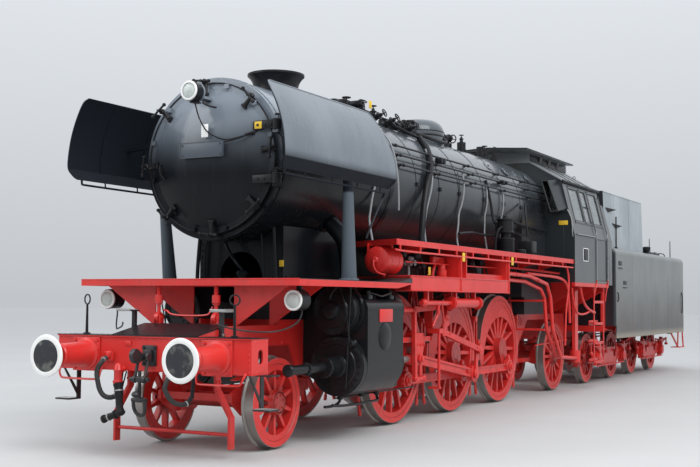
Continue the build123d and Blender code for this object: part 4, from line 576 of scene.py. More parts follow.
# Hoses: black ribbed rubber air hoses with clamps and cast ends, and the jointed metal
# heating pipe with its red valve. Each is screwed to its cock under the beam.
hose_black = paint = Finish("hose_black")
weave = paint.noise(0.006, detail=2)
bloom = paint.band(paint.noise(0.2), 0.45, 0.7)
paint.bump(weave, 0.0006)
paint.set(
    Base_Color=paint.blend(bloom * 0.4, rgb(0.018, 0.018, 0.018), rgb(0.07, 0.07, 0.068)),
    Roughness=0.55 + weave * 0.15,
)
bare_steel = paint = Finish("bare_steel")
wear = paint.noise(0.05, detail=5)
paint.bump(wear, 0.0004)
paint.set(
    Base_Color=paint.blend(wear, rgb(0.30, 0.30, 0.30), rgb(0.46, 0.46, 0.45)),
    Metallic=0.8, Roughness=0.34 + wear * 0.2,
)
for end, beam, turn, body in end_rows:
    hoses, clamps, cocks, joints = Work(), Work(), Work(), Work()
    out = clear_of(beam, turn)
    routes = (
        # left or right, cock height, lowest height, where it is held
        (-546, 1048, 640, -400),
        (330, 880, 610, 560),
    )
    for y, top, low, held in routes:
        bulge = y - 40 if held > y and y < 0 else y
        line = [(out(62), y, top), (out(120), y, top - 30), (out(165), bulge, top - 110)]
        line += [(out(170), bulge, (top + low) / 2), (out(150), bulge + (held - y) * 0.3, low + 10)]
        line += [(out(100), held - 30, low - 30), (out(60), held, low + 10)]
        hoses.tube(line, 27, 2)
        clamps.rod((out(118), y, top - 26), (out(104), y, top - 21), 32, sides=16)
        clamps.rod((out(84), held - 14, low - 10), (out(76), held - 10, low - 6), 32, sides=16)
        cocks.rod((out(0), y, top + 10), (out(66), y, top), 24, sides=16)
        cocks.rod((out(30), y - 40, top + 20), (out(30), y + 46, top + 20), 22, sides=6)
        cocks.rod((out(30), y + 40, top + 24), (out(40), y + 60, top + 96), 7)
        cocks.block((out(0), out(18)), (y - 52, y + 52), (top - 46, top + 66), 6)
        joints.rod((out(64), held - 6, low - 2), (out(0), held + 4, low + 70), 24, sides=16)
        joints.rod((out(8), held + 4, low + 70), (out(-20), held + 4, 912), 20, sides=12)
    cocks.turned(
        [(-90, 0), (-90, 50), (-66, 58), (-52, 44), (40, 44), (56, 54), (70, 44), (104, 38), (128, 16),
         (128, 0)],
        (out(90), -358, 866), upward, 24,
    )
    cocks.rod((out(-10), -358, 930), (out(60), -358, 900), 30, sides=16)
    cocks.fit(f"{end}_hose_cocks", frame_red, body, "red_frame")
    joints.rod((out(92), -350, 780), (out(112), -318, 640), 50, 46, sides=20)
    joints.turned([(-14, 0), (-14, 56), (14, 56), (14, 0)], (out(94), -346, 762), way(0.1, 0.22, -0.97), 20)
    joints.tube(
        [(out(112), -318, 650), (out(125), -305, 560), (out(140), -280, 500), (out(150), -240, 470)], 40, 2,
    )
    joints.rod((out(150), -262, 478), (out(150), -500, 392), 38, 34, sides=20)
    joints.turned([(-12, 0), (-12, 48), (12, 48), (12, 0)], (out(150), -330, 453), way(0, -0.94, -0.34), 20)
    joints.turned([(-14, 0), (-14, 44), (14, 44), (14, 0)], (out(150), -486, 397), way(0, -0.94, -0.34), 20)
    joints.rod((out(100), -300, 700), (out(20), -300, 905), 8)
    joints.fit(f"{end}_heating_pipe", works_black, body, "black_steel")
    clamps.turned(
        [(-7, 44), (-7, 52), (7, 52), (7, 44)], (out(104), -330, 700), way(0.14, 0.22, -0.96), 20, True,
    )
    clamps.turned(
        [(-7, 34), (-7, 41), (7, 41), (7, 34)], (out(150), -420, 420), way(0, -0.94, -0.34), 20, True,
    )
    clamps.fit(f"{end}_hose_clamps", bare_steel, body, "black_steel")
    hoses.fit(f"{end}_air_hoses", hose_black, body, "hose_rubber")
buffer_pieces = ("buffer_sockets", "buffer_discs", "buffer_rings")
hose_pieces = ("air_hoses", "heating_pipe", "hose_cocks", "hose_clamps")
replaced_rows = (
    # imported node, end, pieces that take its place
    ("front_buffers", "front", buffer_pieces),
    ("front_coupling", "front", ("screw_coupling",)),
    ("front_hoses", "front", hose_pieces),
    ("rear_drawgear", "rear", (*buffer_pieces, "screw_coupling", *hose_pieces)),
)
for node, end, pieces in replaced_rows:
    for piece in (f"{end}_{name}" for name in pieces):
        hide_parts(node)

# Front steps and guard irons: one bolted-up set. The guard irons and their crossbar are red
# forgings ahead of the wheels, and the steps with their hangers are black.
steps_paint = paint = Finish("steps_paint")
inside = 1 - paint.band(paint.math("ABSOLUTE", paint.axis("Y")), 0.80, 0.801)
below = 1 - paint.band(paint.axis("Z"), 1.24, 1.241)
mud = paint.band(paint.noise(0.15, detail=5), 0.45, 0.75)
red_part = paint.blend(mud * 0.35, rgb(0.58, 0.020, 0.017), rgb(0.20, 0.05, 0.03))
black_part = paint.blend(mud * 0.35, rgb(0.014, 0.014, 0.016), rgb(0.07, 0.05, 0.04))
paint.bump(paint.noise(0.012, detail=3), 0.0006)
paint.set(Base_Color=paint.blend(inside * below, black_part, red_part), Roughness=0.36 + mud * 0.25)
dress(steps_paint, "front_steps")
treads = Work()
for _ in both_sides(treads):
    for low, high, y_in, y_out in ((560, 566, 1232, 1438), (1560, 1567, 542, 738)):
        rear = 958 if low < 600 else 1128
        first = 772 if low < 600 else 972
        for station in range(first + 12, rear - 8, 24):
            treads.block((station, station + 7), (y_in, y_out), (low, high), 2)
    # Turned-up lips keep a boot on the upper tread.
    treads.block((964, 972), (540, 740), (1545, 1578), 2)
    treads.block((964, 1130), (736, 742), (1545, 1580), 2)
    treads.bolts((1100, 620, 1300), (1100, 620, 1220), 2, left, 26)
treads.fit("step_treads", bare_steel, "locomotive", "black_steel")
irons = Work()
for _ in both_sides(irons):
    for station in (1028, 1080):
        irons.bolts((station, 603, 1210), (station, 603, 800), 5, left, 30)
    irons.turned([(-6, 20), (-6, 34), (6, 34), (6, 20)], (1055, 756, 245), left, 20, closed=True)
irons.fit("guard_iron_bolts", frame_red, "locomotive", "red_frame")

# Hand stanchions: black round bars on the beam, each ending in a forged ring for the hand.
stanchions = Work()
for _ in both_sides(stanchions):
    stanchions.turned([(0, 0), (0, 42), (10, 42), (22, 18), (24, 0)], (774, 996, 1290), upward, 20)
    stanchions.rod((774, 996, 1300), (774, 996, 1622), 17, 12, sides=14)
    stanchions.ring((774, 996, 1676), way(0.96, 0.28, 0), 54, 9, 28)
stanchions.fit("hand_stanchions", works_black, "locomotive", "black_steel")

# Front deck: red plate and valance over the cylinders, its top painted black against glare
# and rolled in a raised diamond pattern. Screwed struts hold up its front edge.
def diamonds(finish):
    """One on the raised diamonds of a rolled plate, about 57 mm apart, and zero between them."""
    along = finish.math("SINE", (finish.axis("X") + finish.axis("Y")) * 110.0)
    across = finish.math("SINE", (finish.axis("X") - finish.axis("Y")) * 110.0)
    return finish.band(along * across, 0.35, 0.6)


deck_paint = paint = Finish("deck_paint")
top_face = paint.band(paint.axis("Z"), 1.903, 1.907)
patch = paint.band(paint.noise(0.7), 0.35, 0.7)
soil = paint.band(paint.noise(0.12, detail=5), 0.46, 0.74)
faded_red = paint.blend(patch * 0.5, rgb(0.58, 0.020, 0.017), rgb(0.66, 0.045, 0.036))
red_edge = paint.blend(soil * 0.18, faded_red, rgb(0.14, 0.04, 0.03))
walked = paint.blend(soil * 0.5, rgb(0.020, 0.021, 0.023), rgb(0.075, 0.068, 0.060))
paint.bump(diamonds(deck_paint) * top_face + paint.noise(0.012) * 0.2, 0.0016)
paint.set(Base_Color=paint.blend(top_face, red_edge, walked), Roughness=0.36 + soil * 0.16 + top_face * 0.12)
dress(deck_paint, "front_deck")
deck = Work()
deck.block((1226, 1236), (-1500, 1500), (1902, 1914), 3)
deck.rivets((1230, -1450, 1872), (1230, 1450, 1872), 36, forward, 8)
for _ in both_sides(deck):
    deck.rivets((1290, 1500, 1872), (3560, 1500, 1872), 28, left, 8)
deck.fit("deck_edge", frame_red, "locomotive", "red_frame")
struts = Work()
for y in (-395, 395):
    struts.turned([(-36, 26), (-40, 44), (40, 44), (36, 26)], (1290, y, 1688), upward, 6)
    for low in (1640, 1724):
        struts.turned([(0, 24), (0, 40), (14, 40), (14, 24)], (1290, y, low - 20), upward, 6)
    for level in range(9):
        struts.turned([(-6, 22), (0, 27), (6, 22)], (1290, y, 1745 + 13 * level), upward, 12)
    struts.block((1240, 1340), (y - 62, y + 62), (1872, 1890), 5)
    struts.turned([(-26, 0), (-26, 62), (-20, 68), (20, 68), (26, 62), (26, 0)], (1290, y, 1470), left, 24)
    struts.rod((1290, y - 52, 1470), (1290, y + 52, 1470), 22, sides=12)
    struts.block((1248, 1332), (y - 44, y - 30), (1390, 1500), 6)
    struts.block((1248, 1332), (y + 30, y + 44), (1390, 1500), 6)
struts.tube(
    [(1300, -330, 1560), (1270, -260, 1560), (1260, -200, 1500), (1260, 300, 1500), (1270, 330, 1540),
     (1290, 350, 1600)], 11,
)
struts.fit("deck_struts", frame_red, "locomotive", "red_frame")

# Head lamps: black cast cases under the deck with white bezels, ribbed pale glasses and
# looped cables. A third one stands on the smokebox door and swings with it.
lamp_glass = paint = Finish("lamp_glass")
ribs = paint.math("SINE", paint.axis("Y") * 420.0)
centre_glow = paint.noise(0.09, detail=2)
paint.bump(ribs, 0.0012)
paint.set(
    Base_Color=paint.blend(centre_glow, rgb(0.34, 0.40, 0.38), rgb(0.66, 0.70, 0.66)),
    Roughness=0.10 + centre_glow * 0.08, Coat_Weight=0.6,
)
lamps, bezels, glasses, cables = Work(), Work(), Work(), Work()
door_lamp, door_bezel, door_glass, door_trim = Work(), Work(), Work(), Work()
lamp_rows = (
    # station, side, height, case, bezel, glass
    (1450, 1290, 1680, lamps, bezels, glasses),
    (1450, -1290, 1680, lamps, bezels, glasses),
    (1262, 0, 4040, door_lamp, door_bezel, door_glass),
)
for station, y, z, case, rim, lens in lamp_rows:
    place = (station, y, z)
    case.turned(
        [(0, 100), (0, 112), (10, 117), (30, 117), (40, 112), (130, 112), (168, 96), (190, 60), (192, 0)],
        place, backward, 36,
    )
    case.bolt_circle((station + 34, y, z), forward, 108, 4, 18, 0.78)
    case.rod((station + 120, y, z + 100), (station + 120, y, z + 128), 22, sides=12)
    rim.turned(
        [(-8, 88), (-12, 94), (-10, 108), (0, 114), (14, 114), (14, 100), (2, 88)],
        place, backward, 40, closed=True,
    )
    lens.turned([(-16, 0), (-15, 30), (-10, 60), (0, 88), (4, 92)], place, backward, 36)
for _ in both_sides(lamps, cables):
    lamps.block((1540, 1620), (1240, 1340), (1786, 1800), 4)
    lamps.block((1560, 1600), (1262, 1318), (1780, 1890), 4)
    lamps.rod((1640, 1290, 1680), (1700, 1290, 1680), 26, sides=12)
    cables.tube(
        [(1640, 1290, 1590), (1640, 1292, 1500), (1560, 1240, 1400), (1400, 1100, 1330),
         (1180, 900, 1340), (1040, 700, 1380), (960, 640, 1420)], 9,
    )
lamps.fit("lamp_cases", works_black, "locomotive", "black_paint")
bezels.fit("lamp_bezels", white_paint, "locomotive")
glasses.fit("lamp_glasses", lamp_glass, "locomotive", "window_glass")
cables.fit("lamp_cables", hose_black, "locomotive", "hose_rubber")

# Smokebox and its door: glossy black heat paint, dished door plate, hinge knuckles, eight
# screw clamps with claws and T handles, blank plates, a grab handle and the lamp's looped cable.
# Black heat paint with a painted sky highlight: pale blue-grey over the upper part, from 3.10 m up to 4.10 m.
smoke_black = satin_paint(
    "smoke_black", rgb(0.006, 0.007, 0.009), rgb(0.011, 0.013, 0.016), rgb(0.022, 0.021, 0.021), 1.0, 0.20,
    relief=0.0001, shine=0.14, painted_sky_highlight=(3.10, 4.10, rgb(0.190, 0.222, 0.260)),
)
dress(smoke_black, "smokebox", "smokebox_door", "smokebox_saddle")
dress(works_black, "chimney")
for number in range(8):
    angle = radians(45 * number + 4)

    def at(radius, aside, station):
        """A place beside the clamp: a radius on the door, a step aside and a station."""
        across, rise = radius * cos(angle) - aside * sin(angle), radius * sin(angle) + aside * cos(angle)
        return (station, across, boiler_height + rise)

    door_trim.rod(at(752, 0, 1652), at(920, 0, 1668), 30, 22, sides=8)
    door_trim.rod(at(744, -36, 1655), at(744, 36, 1655), 19, sides=10)
    door_trim.turned([(0, 0), (0, 36), (30, 38), (42, 26), (44, 0)], at(896, 0, 1662), forward, 6)
    door_trim.rod(at(896, 0, 1662), at(896, 0, 1560), 17, sides=12)
    door_trim.rod(at(880, -96, 1578), at(912, 96, 1578), 13, sides=10)
    for end in (-1, 1):
        door_trim.turned(
            [(-20, 0), (-16, 17), (0, 23), (16, 17), (20, 0)],
            at(896 + 18 * end, 104 * end, 1578), forward, 12,
        )
for height in (3040, 3650):
    for y in (690, 780, 860):
        door_trim.bolt((1650, y, height), forward, 34, 24)
    door_trim.block((1634, 1652), (620, 930), (height - 46, height + 46), 6)
    door_trim.turned(
        [(-64, 0), (-64, 50), (-56, 56), (56, 56), (64, 50), (64, 0)], (1668, 925, height), upward, 20,
    )
    door_trim.rod((1668, 925, height + 100), (1668, 925, height - 100), 17, sides=12)
    door_trim.turned([(0, 0), (0, 28), (16, 32), (26, 22), (28, 0)], (1668, 925, height + 100), upward, 12)
# Grab handle, lamp bracket, the looped cable with its plug and the small plates' studs.
door_trim.tube(
    [(1690, -664, 3280), (1620, -668, 3270), (1600, -666, 3219), (1600, -640, 3139), (1630, -592, 3080),
     (1690, -580, 3070)], 12, 2,
)
door_trim.tube(
    [(1330, 34, 3924), (1420, 1, 3813), (1480, 29, 3680), (1478, 117, 3573), (1500, 325, 3480),
     (1530, 485, 3508), (1590, 580, 3545), (1670, 660, 3590), (1676, 800, 3650), (1690, 840, 3635),
     (1745, 965, 3502)], 8, 2,
)
door_trim.tube([(1500, 325, 3466), (1530, 485, 3490), (1570, 590, 3540), (1636, 640, 3570)], 8, 2)
door_trim.rod((1570, 560, 3540), (1640, 640, 3570), 16, 22, sides=12)
door_trim.block((1640, 1662), (636, 760), (3596, 3704), 6)
door_trim.rod((1650, 740, 3690), (1690, 860, 3700), 16, sides=10)
door_trim.rod((1490, 66, 3610), (1545, 66, 3610), 12, sides=8)
for y in (-180, 230):
    door_trim.rod((1500, y, 3390), (1560, y, 3390), 14, sides=8)
door_trim.tube([(1440, 60, 3930), (1480, 90, 3900), (1520, 150, 3880), (1560, 170, 3880)], 12, 2)
door_trim.block((1440, 1660), (-44, 44), (3968, 3984), 4)
door_trim.block((1330, 1450), (-40, 40), (3914, 3932), 4)
door_trim.bolts((1520, 0, 3984), (1620, 0, 3984), 2, upward, 26)
door_trim.ring((1706, 0, 3320), forward, 880, 9, 96)
door_trim.fit("door_furniture", works_black, "smokebox_door", "boiler_black")
door_lamp.fit("door_lamp_case", works_black, "smokebox_door", "black_paint")
door_bezel.fit("door_lamp_bezel", white_paint, "smokebox_door")
door_glass.fit("door_lamp_glass", lamp_glass, "smokebox_door", "window_glass")
plate_grey = satin_paint(
    "plate_grey", rgb(0.060, 0.074, 0.092), rgb(0.080, 0.092, 0.108), rgb(0.07, 0.07, 0.065), 1.0, 0.34
)


def frame_bars(first, last, low, high, width):
    """The four bars of a frame inside these limits, each as its two limits across and two heights."""
    return (
        (first, last, low, low + width), (first, last, high - width, high),
        (first, first + width, low, high), (last - width, last, low, high),
    )


plates, plate_back = Work(), Work()
plate_back.block((1468, 1506), (-272, 326), (3300, 3480), 5)
for y_first, y_last, low, high in frame_bars(-272, 326, 3300, 3480, 7):
    plate_back.block((1463, 1468), (y_first, y_last), (low, high), 1)
for y in (-240, 294):
    plate_back.bolts((1466, y, 3330), (1466, y, 3450), 2, forward, 16)
plates.block((1484, 1490), (16, 112), (3533, 3684), 4)
plates.fit("door_label", white_paint, "smokebox_door")
plate_back.fit("number_plate", plate_grey, "smokebox_door", "black_paint")

# Smokebox shell trim: rows of rivets round the drum's ends and seams, the washed front ring,
# the side steam pipe cover and the pipes that drop behind the deck beside the saddle.
shell = Work()
for station, radius in ((1792, 952), (1868, 953), (4470, 953), (4560, 953)):
    for number in range(64):
        angle = 2 * pi * number / 64
        if station > 2000 or sin(angle) > -0.95:
            shell.rivet(
                (station, radius * cos(angle), boiler_height + radius * sin(angle)),
                way(0, cos(angle), sin(angle)), 12,
            )
for _ in both_sides(shell):
    shell.rivets((1900, 944, 3200), (4400, 944, 3200), 26, left, 11)
    # Steam pipe to the cylinder, with its flanged cover on the drum.
    shell.tube([(3300, 700, 2650), (3320, 860, 2500), (3350, 930, 2300), (3380, 940, 1720)], 110, 4)
    shell.turned([(0, 0), (0, 170), (24, 170), (30, 158), (30, 0)], (3300, 660, 2690), way(0, 0.85, -0.5), 32)
    shell.tube([(2250, 520, 2560), (2240, 540, 2300), (2240, 560, 2000), (2240, 560, 1910)], 24, 2)
    shell.tube([(2200, 380, 2490), (2180, 420, 2300), (2200, 430, 1910)], 16, 2)
    shell.bolts((2350, 570, 1960), (2350, 570, 2440), 7, forward, 26)
    shell.bolts((2420, 600, 1950), (3880, 600, 1950), 12, left, 28)
shell.block((2290, 2350), (-640, 640), (1910, 1932), 5)
shell.tube(
    [(2180, -120, 2380), (2140, -60, 2300), (2150, 60, 2120), (2220, 120, 2020), (2300, 140, 1990)], 20, 2,
)
shell.turned([(0, 0), (0, 66), (40, 72), (60, 60), (84, 0)], (2190, 130, 1960), upward, 20)
shell.rod((2190, 130, 1910), (2190, 130, 1970), 46, sides=16)
shell.bolts((2300, -600, 1932), (2300, 600, 1932), 12, upward, 26)
shell.fit("smokebox_trim", smoke_black, "locomotive", "boiler_black")
stack_trim = Work()
stack_trim.ring((3100, 0, 4538), upward, 352, 11, 48)
stack_trim.turned([(-8, 318), (0, 334), (10, 318)], (3100, 0, 4300), upward, 48)
stack_trim.turned([(0, 330), (0, 400), (14, 400), (22, 372), (60, 330)], (3100, 0, 4246), upward, 48)
stack_trim.bolt_circle((3100, 0, 4262), upward, 382, 12, 26)
stack_trim.fit("chimney_trim", works_black, "locomotive", "boiler_black")

# Smoke deflectors: curved sheets with a rolled edge bead, two lapped seams, a folded lower
# strip, a hand rail beneath and tapered posts. Blue-black paint, worn glossy by rain, with painted
# light: the upper outer face is a pale blue-grey sky sheen, the inner face and lower strip near black shade.
deflector_paint = paint = Finish("deflector_paint")
wash = paint.band(paint.noise(0.5, (0.6, 1, 0.25), 5), 0.4, 0.72)
runs = paint.band(paint.noise(0.06, (1, 1, 0.06), 5), 0.56, 0.74)
grain = paint.noise(0.008, detail=3)
from_side = paint.math("ABSOLUTE", paint.axis("Y")) - 0.15222
from_level = paint.axis("Z") - 3.22363
off = (from_side * from_side + from_level * from_level) ** 0.5 - 1.33820
# Painted light: the outer face above the folded strip gets the pale sky-lit tone; the inner face and the
# lower strip get near-black painted shade.
outside = paint.band(off, -0.005, -0.003) * paint.band(paint.axis("Z"), 3.12, 3.30)
posts = 1 - paint.band(paint.axis("Z"), 2.93, 2.96)
weathered_and_sky_lit = paint.blend(wash, rgb(0.115, 0.135, 0.158), rgb(0.165, 0.188, 0.212))
weathered_and_sky_lit = paint.blend(runs * 0.25, weathered_and_sky_lit, rgb(0.22, 0.23, 0.235))
lit_outer_and_shaded_inner = paint.blend(outside, rgb(0.010, 0.013, 0.018), weathered_and_sky_lit)
paint.bump(paint.noise(0.9, detail=2) * 3.0 + grain * 0.05, 0.0007)
paint.set(
    Base_Color=paint.blend(posts, lit_outer_and_shaded_inner, rgb(0.085, 0.102, 0.120)),
    Roughness=0.52 - outside * 0.26 + wash * 0.08 + runs * 0.08,
    Coat_Weight=outside * 0.7, Coat_Roughness=0.14, Specular_IOR_Level=0.1,
)
dress(deflector_paint, "smoke_deflectors")
curve_side, curve_height, curve_radius = 152.2, 3223.6, 1338.2
bead, rails = Work(), Work()


def face(station, z):
    """A place on the sheet's outer face, which follows a circle."""
    return (station, curve_side + sqrt(curve_radius ** 2 - (z - curve_height) ** 2), z)


for _ in both_sides(bead, rails):
    edge = [face(1000, 4002), face(2000, 4006), face(3220, 4006), face(3300, 3985), face(3340, 3900)]
    edge += [face(3450, 3640), face(3552, 3400), face(3568, 3300), (3570, 1489, 3200)]
    edge += [(3560, 1450, 3120), (3480, 1404, 3070)]
    bead.tube(edge, 9)
    front_edge = [face(1040, 4004), face(960, 3995), face(946, 3900), face(946, 3600), face(946, 3300)]
    front_edge += [(948, 1489, 3190), (960, 1440, 3120), (1040, 1402, 3070)]
    bead.tube(front_edge, 9)
    for station in (1820, 2700):
        bead.tube([face(station, z) for z in (3996, 3800, 3600, 3400, 3200)], 4)
        for z in range(3230, 3990, 60):
            bead.rivet(face(station + 22, z), way(0, 0.93, 0.3), 7)
    rails.tube([(1080, 1392, 3068), (1080, 1392, 3020), (1100, 1392, 3010), (3400, 1392, 3010)], 13, 2)
    for station in (1500, 2100, 2700, 3300):
        rails.rod((station, 1394, 3010), (station, 1402, 3070), 9, sides=8)
    rails.tube([(3420, 1392, 3010), (3430, 1392, 3000), (3560, 1200, 2760), (3700, 1000, 2480)], 13, 2)
    # Inner stiffening flats and the stays to the drum, with their bolts.
    for station in (1480, 2260, 3000):
        run = [face(station, z) for z in (3990, 3900, 3820, 3640, 3400, 3200)]
        for first, last in zip(run, run[1:]):
            ends = [(station, first), (station + 40, first), (station + 40, last), (station, last)]
            bead.plate([(s, y - 22, z) for s, (_, y, z) in ends], (0, 11, 0))
    for station in (1950, 3300):
        bead.bolts((station + 20, 1300, 3555), (station + 20, 1180, 3572), 2, upward, 28)
    rails.turned([(0, 0), (0, 118), (12, 122), (20, 116), (34, 92), (34, 0)], (2675, 1310, 1910), upward, 32)
    rails.bolt_circle((2675, 1310, 1926), upward, 104, 6, 24)
bead.fit("deflector_edges", deflector_paint, "locomotive", "deflector_grey")
rails.fit("deflector_rails", deflector_paint, "locomotive", "deflector_grey")

# Boiler cladding: sheet steel clamped by flat bands, blued by heat, with a painted sky highlight on its
# upper part and brown streaks on its lower flanks as a painted reflection of the red boards. Round
# washout covers, band clamps and studs are fixed through it.
cladding = paint = Finish("cladding")
soft_band = paint.band(paint.noise(1.1, (0.4, 1, 1), 4), 0.35, 0.7)
# Painted reflection of the red running boards: brown patches low on the flanks.
painted_board_reflection = paint.band(paint.noise(0.5, (0.35, 1, 1.4), 5), 0.46, 0.70)
low_side = 1 - paint.band(paint.axis("Z") + paint.noise(0.4) * 0.3, 3.05, 3.55)
# Painted sky highlight: the upper part pales to blue-grey.
sky_highlight_band = paint.band(paint.axis("Z") + soft_band * 0.15, 3.40, 3.90)
drips = paint.band(paint.noise(0.07, (1, 1, 0.08), 4), 0.52, 0.74)
paint.bump(paint.noise(0.55, detail=2) * 3.0 + paint.noise(0.01) * 0.06, 0.0007)
cladding_tone = paint.blend(soft_band, rgb(0.014, 0.016, 0.019), rgb(0.028, 0.031, 0.036))
cladding_tone = paint.blend(sky_highlight_band * 0.9, cladding_tone, rgb(0.085, 0.098, 0.110))
paint.set(
    Base_Color=paint.blend(painted_board_reflection * low_side * 0.55, cladding_tone, rgb(0.042, 0.030, 0.024)),
    Roughness=0.20 + soft_band * 0.08 + drips * 0.10 + low_side * 0.16,
    Coat_Weight=0.6 - low_side * 0.55, Coat_Roughness=0.12, Specular_IOR_Level=0.15,
)
dress(cladding, "boiler_barrel", "firebox", "steam_dome")
dress(works_black, "boiler_fittings", "boiler_rails", "boiler_carriers")
clad = Work()
for station in (5350, 6150, 6880, 7900, 8800, 9640):
    for _ in both_sides(clad):
        clad.block((station - 26, station + 26), (946, 964), (3288, 3352), 4)
        clad.bolts((station, 964, 3304), (station, 964, 3336), 2, left, 18)
for _ in both_sides(clad):
    for station, y, z in ((8694, 700, 3965), (9422, 750, 3944), (10060, 700, 3965), (10500, 750, 3944)):
        rise = z - boiler_height
        out = way(0, y, rise)
        clad.turned(
            [(0, 0), (0, 92), (14, 96), (24, 88), (28, 0)],
            (station, y * 0.975, boiler_height + rise * 0.975), out, 28,
        )
        clad.bolt((station, y, z), out, 34, 20)
    for station, z in ((10000, 2650), (10500, 2650), (10250, 2950), (10800, 2950)):
        clad.turned([(0, 0), (0, 60), (10, 64), (22, 54), (24, 0)], (station, 928, z), left, 24)
    # Joint strip between barrel and firebox cladding, and the foundation edge.
    clad.rivets((9740, 942, 3250), (9740, 934, 2480), 12, left, 9)
    clad.block((9700, 10960), (926, 940), (2468, 2500), 4)
clad.fit("cladding_trim", cladding, "locomotive", "boiler_black")

# Dome and boiler top: the dome's rolled collar and bolts, and the crowd of valves around the
# throttle header. Each valve is a turned casting with a flanged bonnet and a handwheel.
top = Work()
top.turned([(0, 436), (14, 442), (26, 436), (30, 430)], (7380, 0, 4300), upward, 48)
top.ring((7380, 0, 4382), upward, 431, 7, 48)


def valve(work, place, axis, size, wheel=True):
    """A valve: flanged body, bonnet, gland and a spoked handwheel on its spindle."""
    work.turned(
        [(along * size, radius * size) for along, radius in (
            (-1, 0), (-1, 0.8), (-0.8, 0.8), (-0.7, 0.5), (0, 0.62), (0.6, 0.5), (0.7, 0.78), (0.95, 0.78),
            (1, 0.4), (1.5, 0.34), (1.6, 0.2), (1.6, 0),
        )], place, axis, 20,
    )
    if wheel:
        shift = axis * (2.1 * size)
        hub = (place[0] - shift.x, place[1] + shift.y, place[2] + shift.z)
        work.rod(place, hub, 0.13 * size, sides=8)
        work.ring(hub, axis, 0.72 * size, 0.11 * size, 20)
        out, over = work.around(axis)
        for angle in (0, 2.1, 4.2):
            reach = (out * cos(angle) + over * sin(angle)) * (0.7 * size)
            work.rod(hub, (hub[0] - reach.x, hub[1] + reach.y, hub[2] + reach.z), 0.08 * size, sides=6)


valve_rows = (
    # station, side, height, forward, left and upward parts, size, handwheel
    (4760, 120, 4360, 0, 0, 1, 62, True),
    (4900, -160, 4380, 0, 0, 1, 60, True),
    (5050, 180, 4360, 0.3, 0.5, 1, 62, True),
    (5230, 0, 4400, 1, 0, 0.1, 66, False),
    (5420, 240, 4330, 0, 1, 0.4, 60, True),
    (5560, 380, 4260, 0, 1, 0.5, 62, True),
    (5700, 60, 4420, 0, 0, 1, 52, True),
    (5830, 420, 4250, -1, 0.2, 0.2, 56, True),
    (6000, 300, 4310, -1, 0.3, 0.2, 60, True),
    (6120, 440, 4250, 0, 1, 0.2, 56, True),
    (6180, -300, 4310, 0, -1, 0.3, 60, True),
    (6560, 240, 4300, 0, 0.6, 1, 56, True),
    (8180, 150, 4400, -1, 0.25, 0.05, 92, True),
    (8560, -240, 4300, -1, 0, 0.1, 62, True),
    (8900, 130, 4440, 0, 0, 1, 52, True),
    (8900, -130, 4430, 0, 0, 1, 52, False),
    (9560, 300, 4300, 0, 0, 1, 62, True),
    (10100, -120, 4300, 0, 0, 1, 54, True),
    (10100, 260, 4400, 0, 0.2, 1, 40, True),
)
for station, y, z, ahead, aside, above, size, wheel in valve_rows:
    grown = size * 1.28 if station < 6700 else size
    valve(top, (station, y, z), way(ahead, aside, above), grown, wheel)
top.block((4640, 5120), (-240, 240), (4262, 4320), 14)
top.tube([(7480, 120, 4420), (7800, 150, 4420), (8180, 150, 4400)], 34, 2)
for station in (4670, 5090):
    top.bolts((station, -210, 4320), (station, 210, 4320), 6, upward, 34)
top.block((4700, 4880), (-40, 120), (4430, 4505), 14)
top.block((4980, 5100), (40, 200), (4440, 4520), 12)
top.turned([(0, 150), (24, 156), (34, 120), (60, 96), (66, 0)], (5230, 0, 4454), upward, 28)
for line, radius in (
    ([(4700, 60, 4400), (4900, 60, 4440), (5200, 160, 4420), (5500, 260, 4340), (5900, 300, 4330)], 20),
    ([(4800, -80, 4380), (5100, -120, 4420), (5600, -160, 4330), (6200, -260, 4300)], 20),
    ([(5560, 380, 4260), (5700, 500, 4200), (5900, 560, 4140), (6168, 600, 4110), (6168, 640, 4060)], 22),
    ([(6020, 300, 4310), (6200, 300, 4300), (6420, 260, 4270), (6497, 300, 4262)], 20),
):
    top.tube(line, radius, 2)
top.fit("boiler_top_valves", works_black, "locomotive", "black_steel")

# Pipework over the cladding: a thick black feed pipe, and thin pipes left in pale primer that
# follow the boiler's curve down to the board. Clips on studs hold them off the sheet.
primer = satin_paint(
    "primer", rgb(0.20, 0.21, 0.22), rgb(0.28, 0.29, 0.30), rgb(0.12, 0.10, 0.085), 1.0, 0.38
)
black_pipes, pale_pipes = Work(), Work()


def wrap(station_top, station_low, high, low, off):
    """Places that follow the barrel's curve down one side, a little off the sheet."""
    reach = barrel_radius + off
    places = []
    for number in range(9):
        share = number / 8
        z = high + (low - high) * share
        y = sqrt(max(reach * reach - (z - boiler_height) ** 2, 0)) if z > 3000 else reach * 0.96 + 6
        places.append((station_top + (station_low - station_top) * share, y, z))
    return places


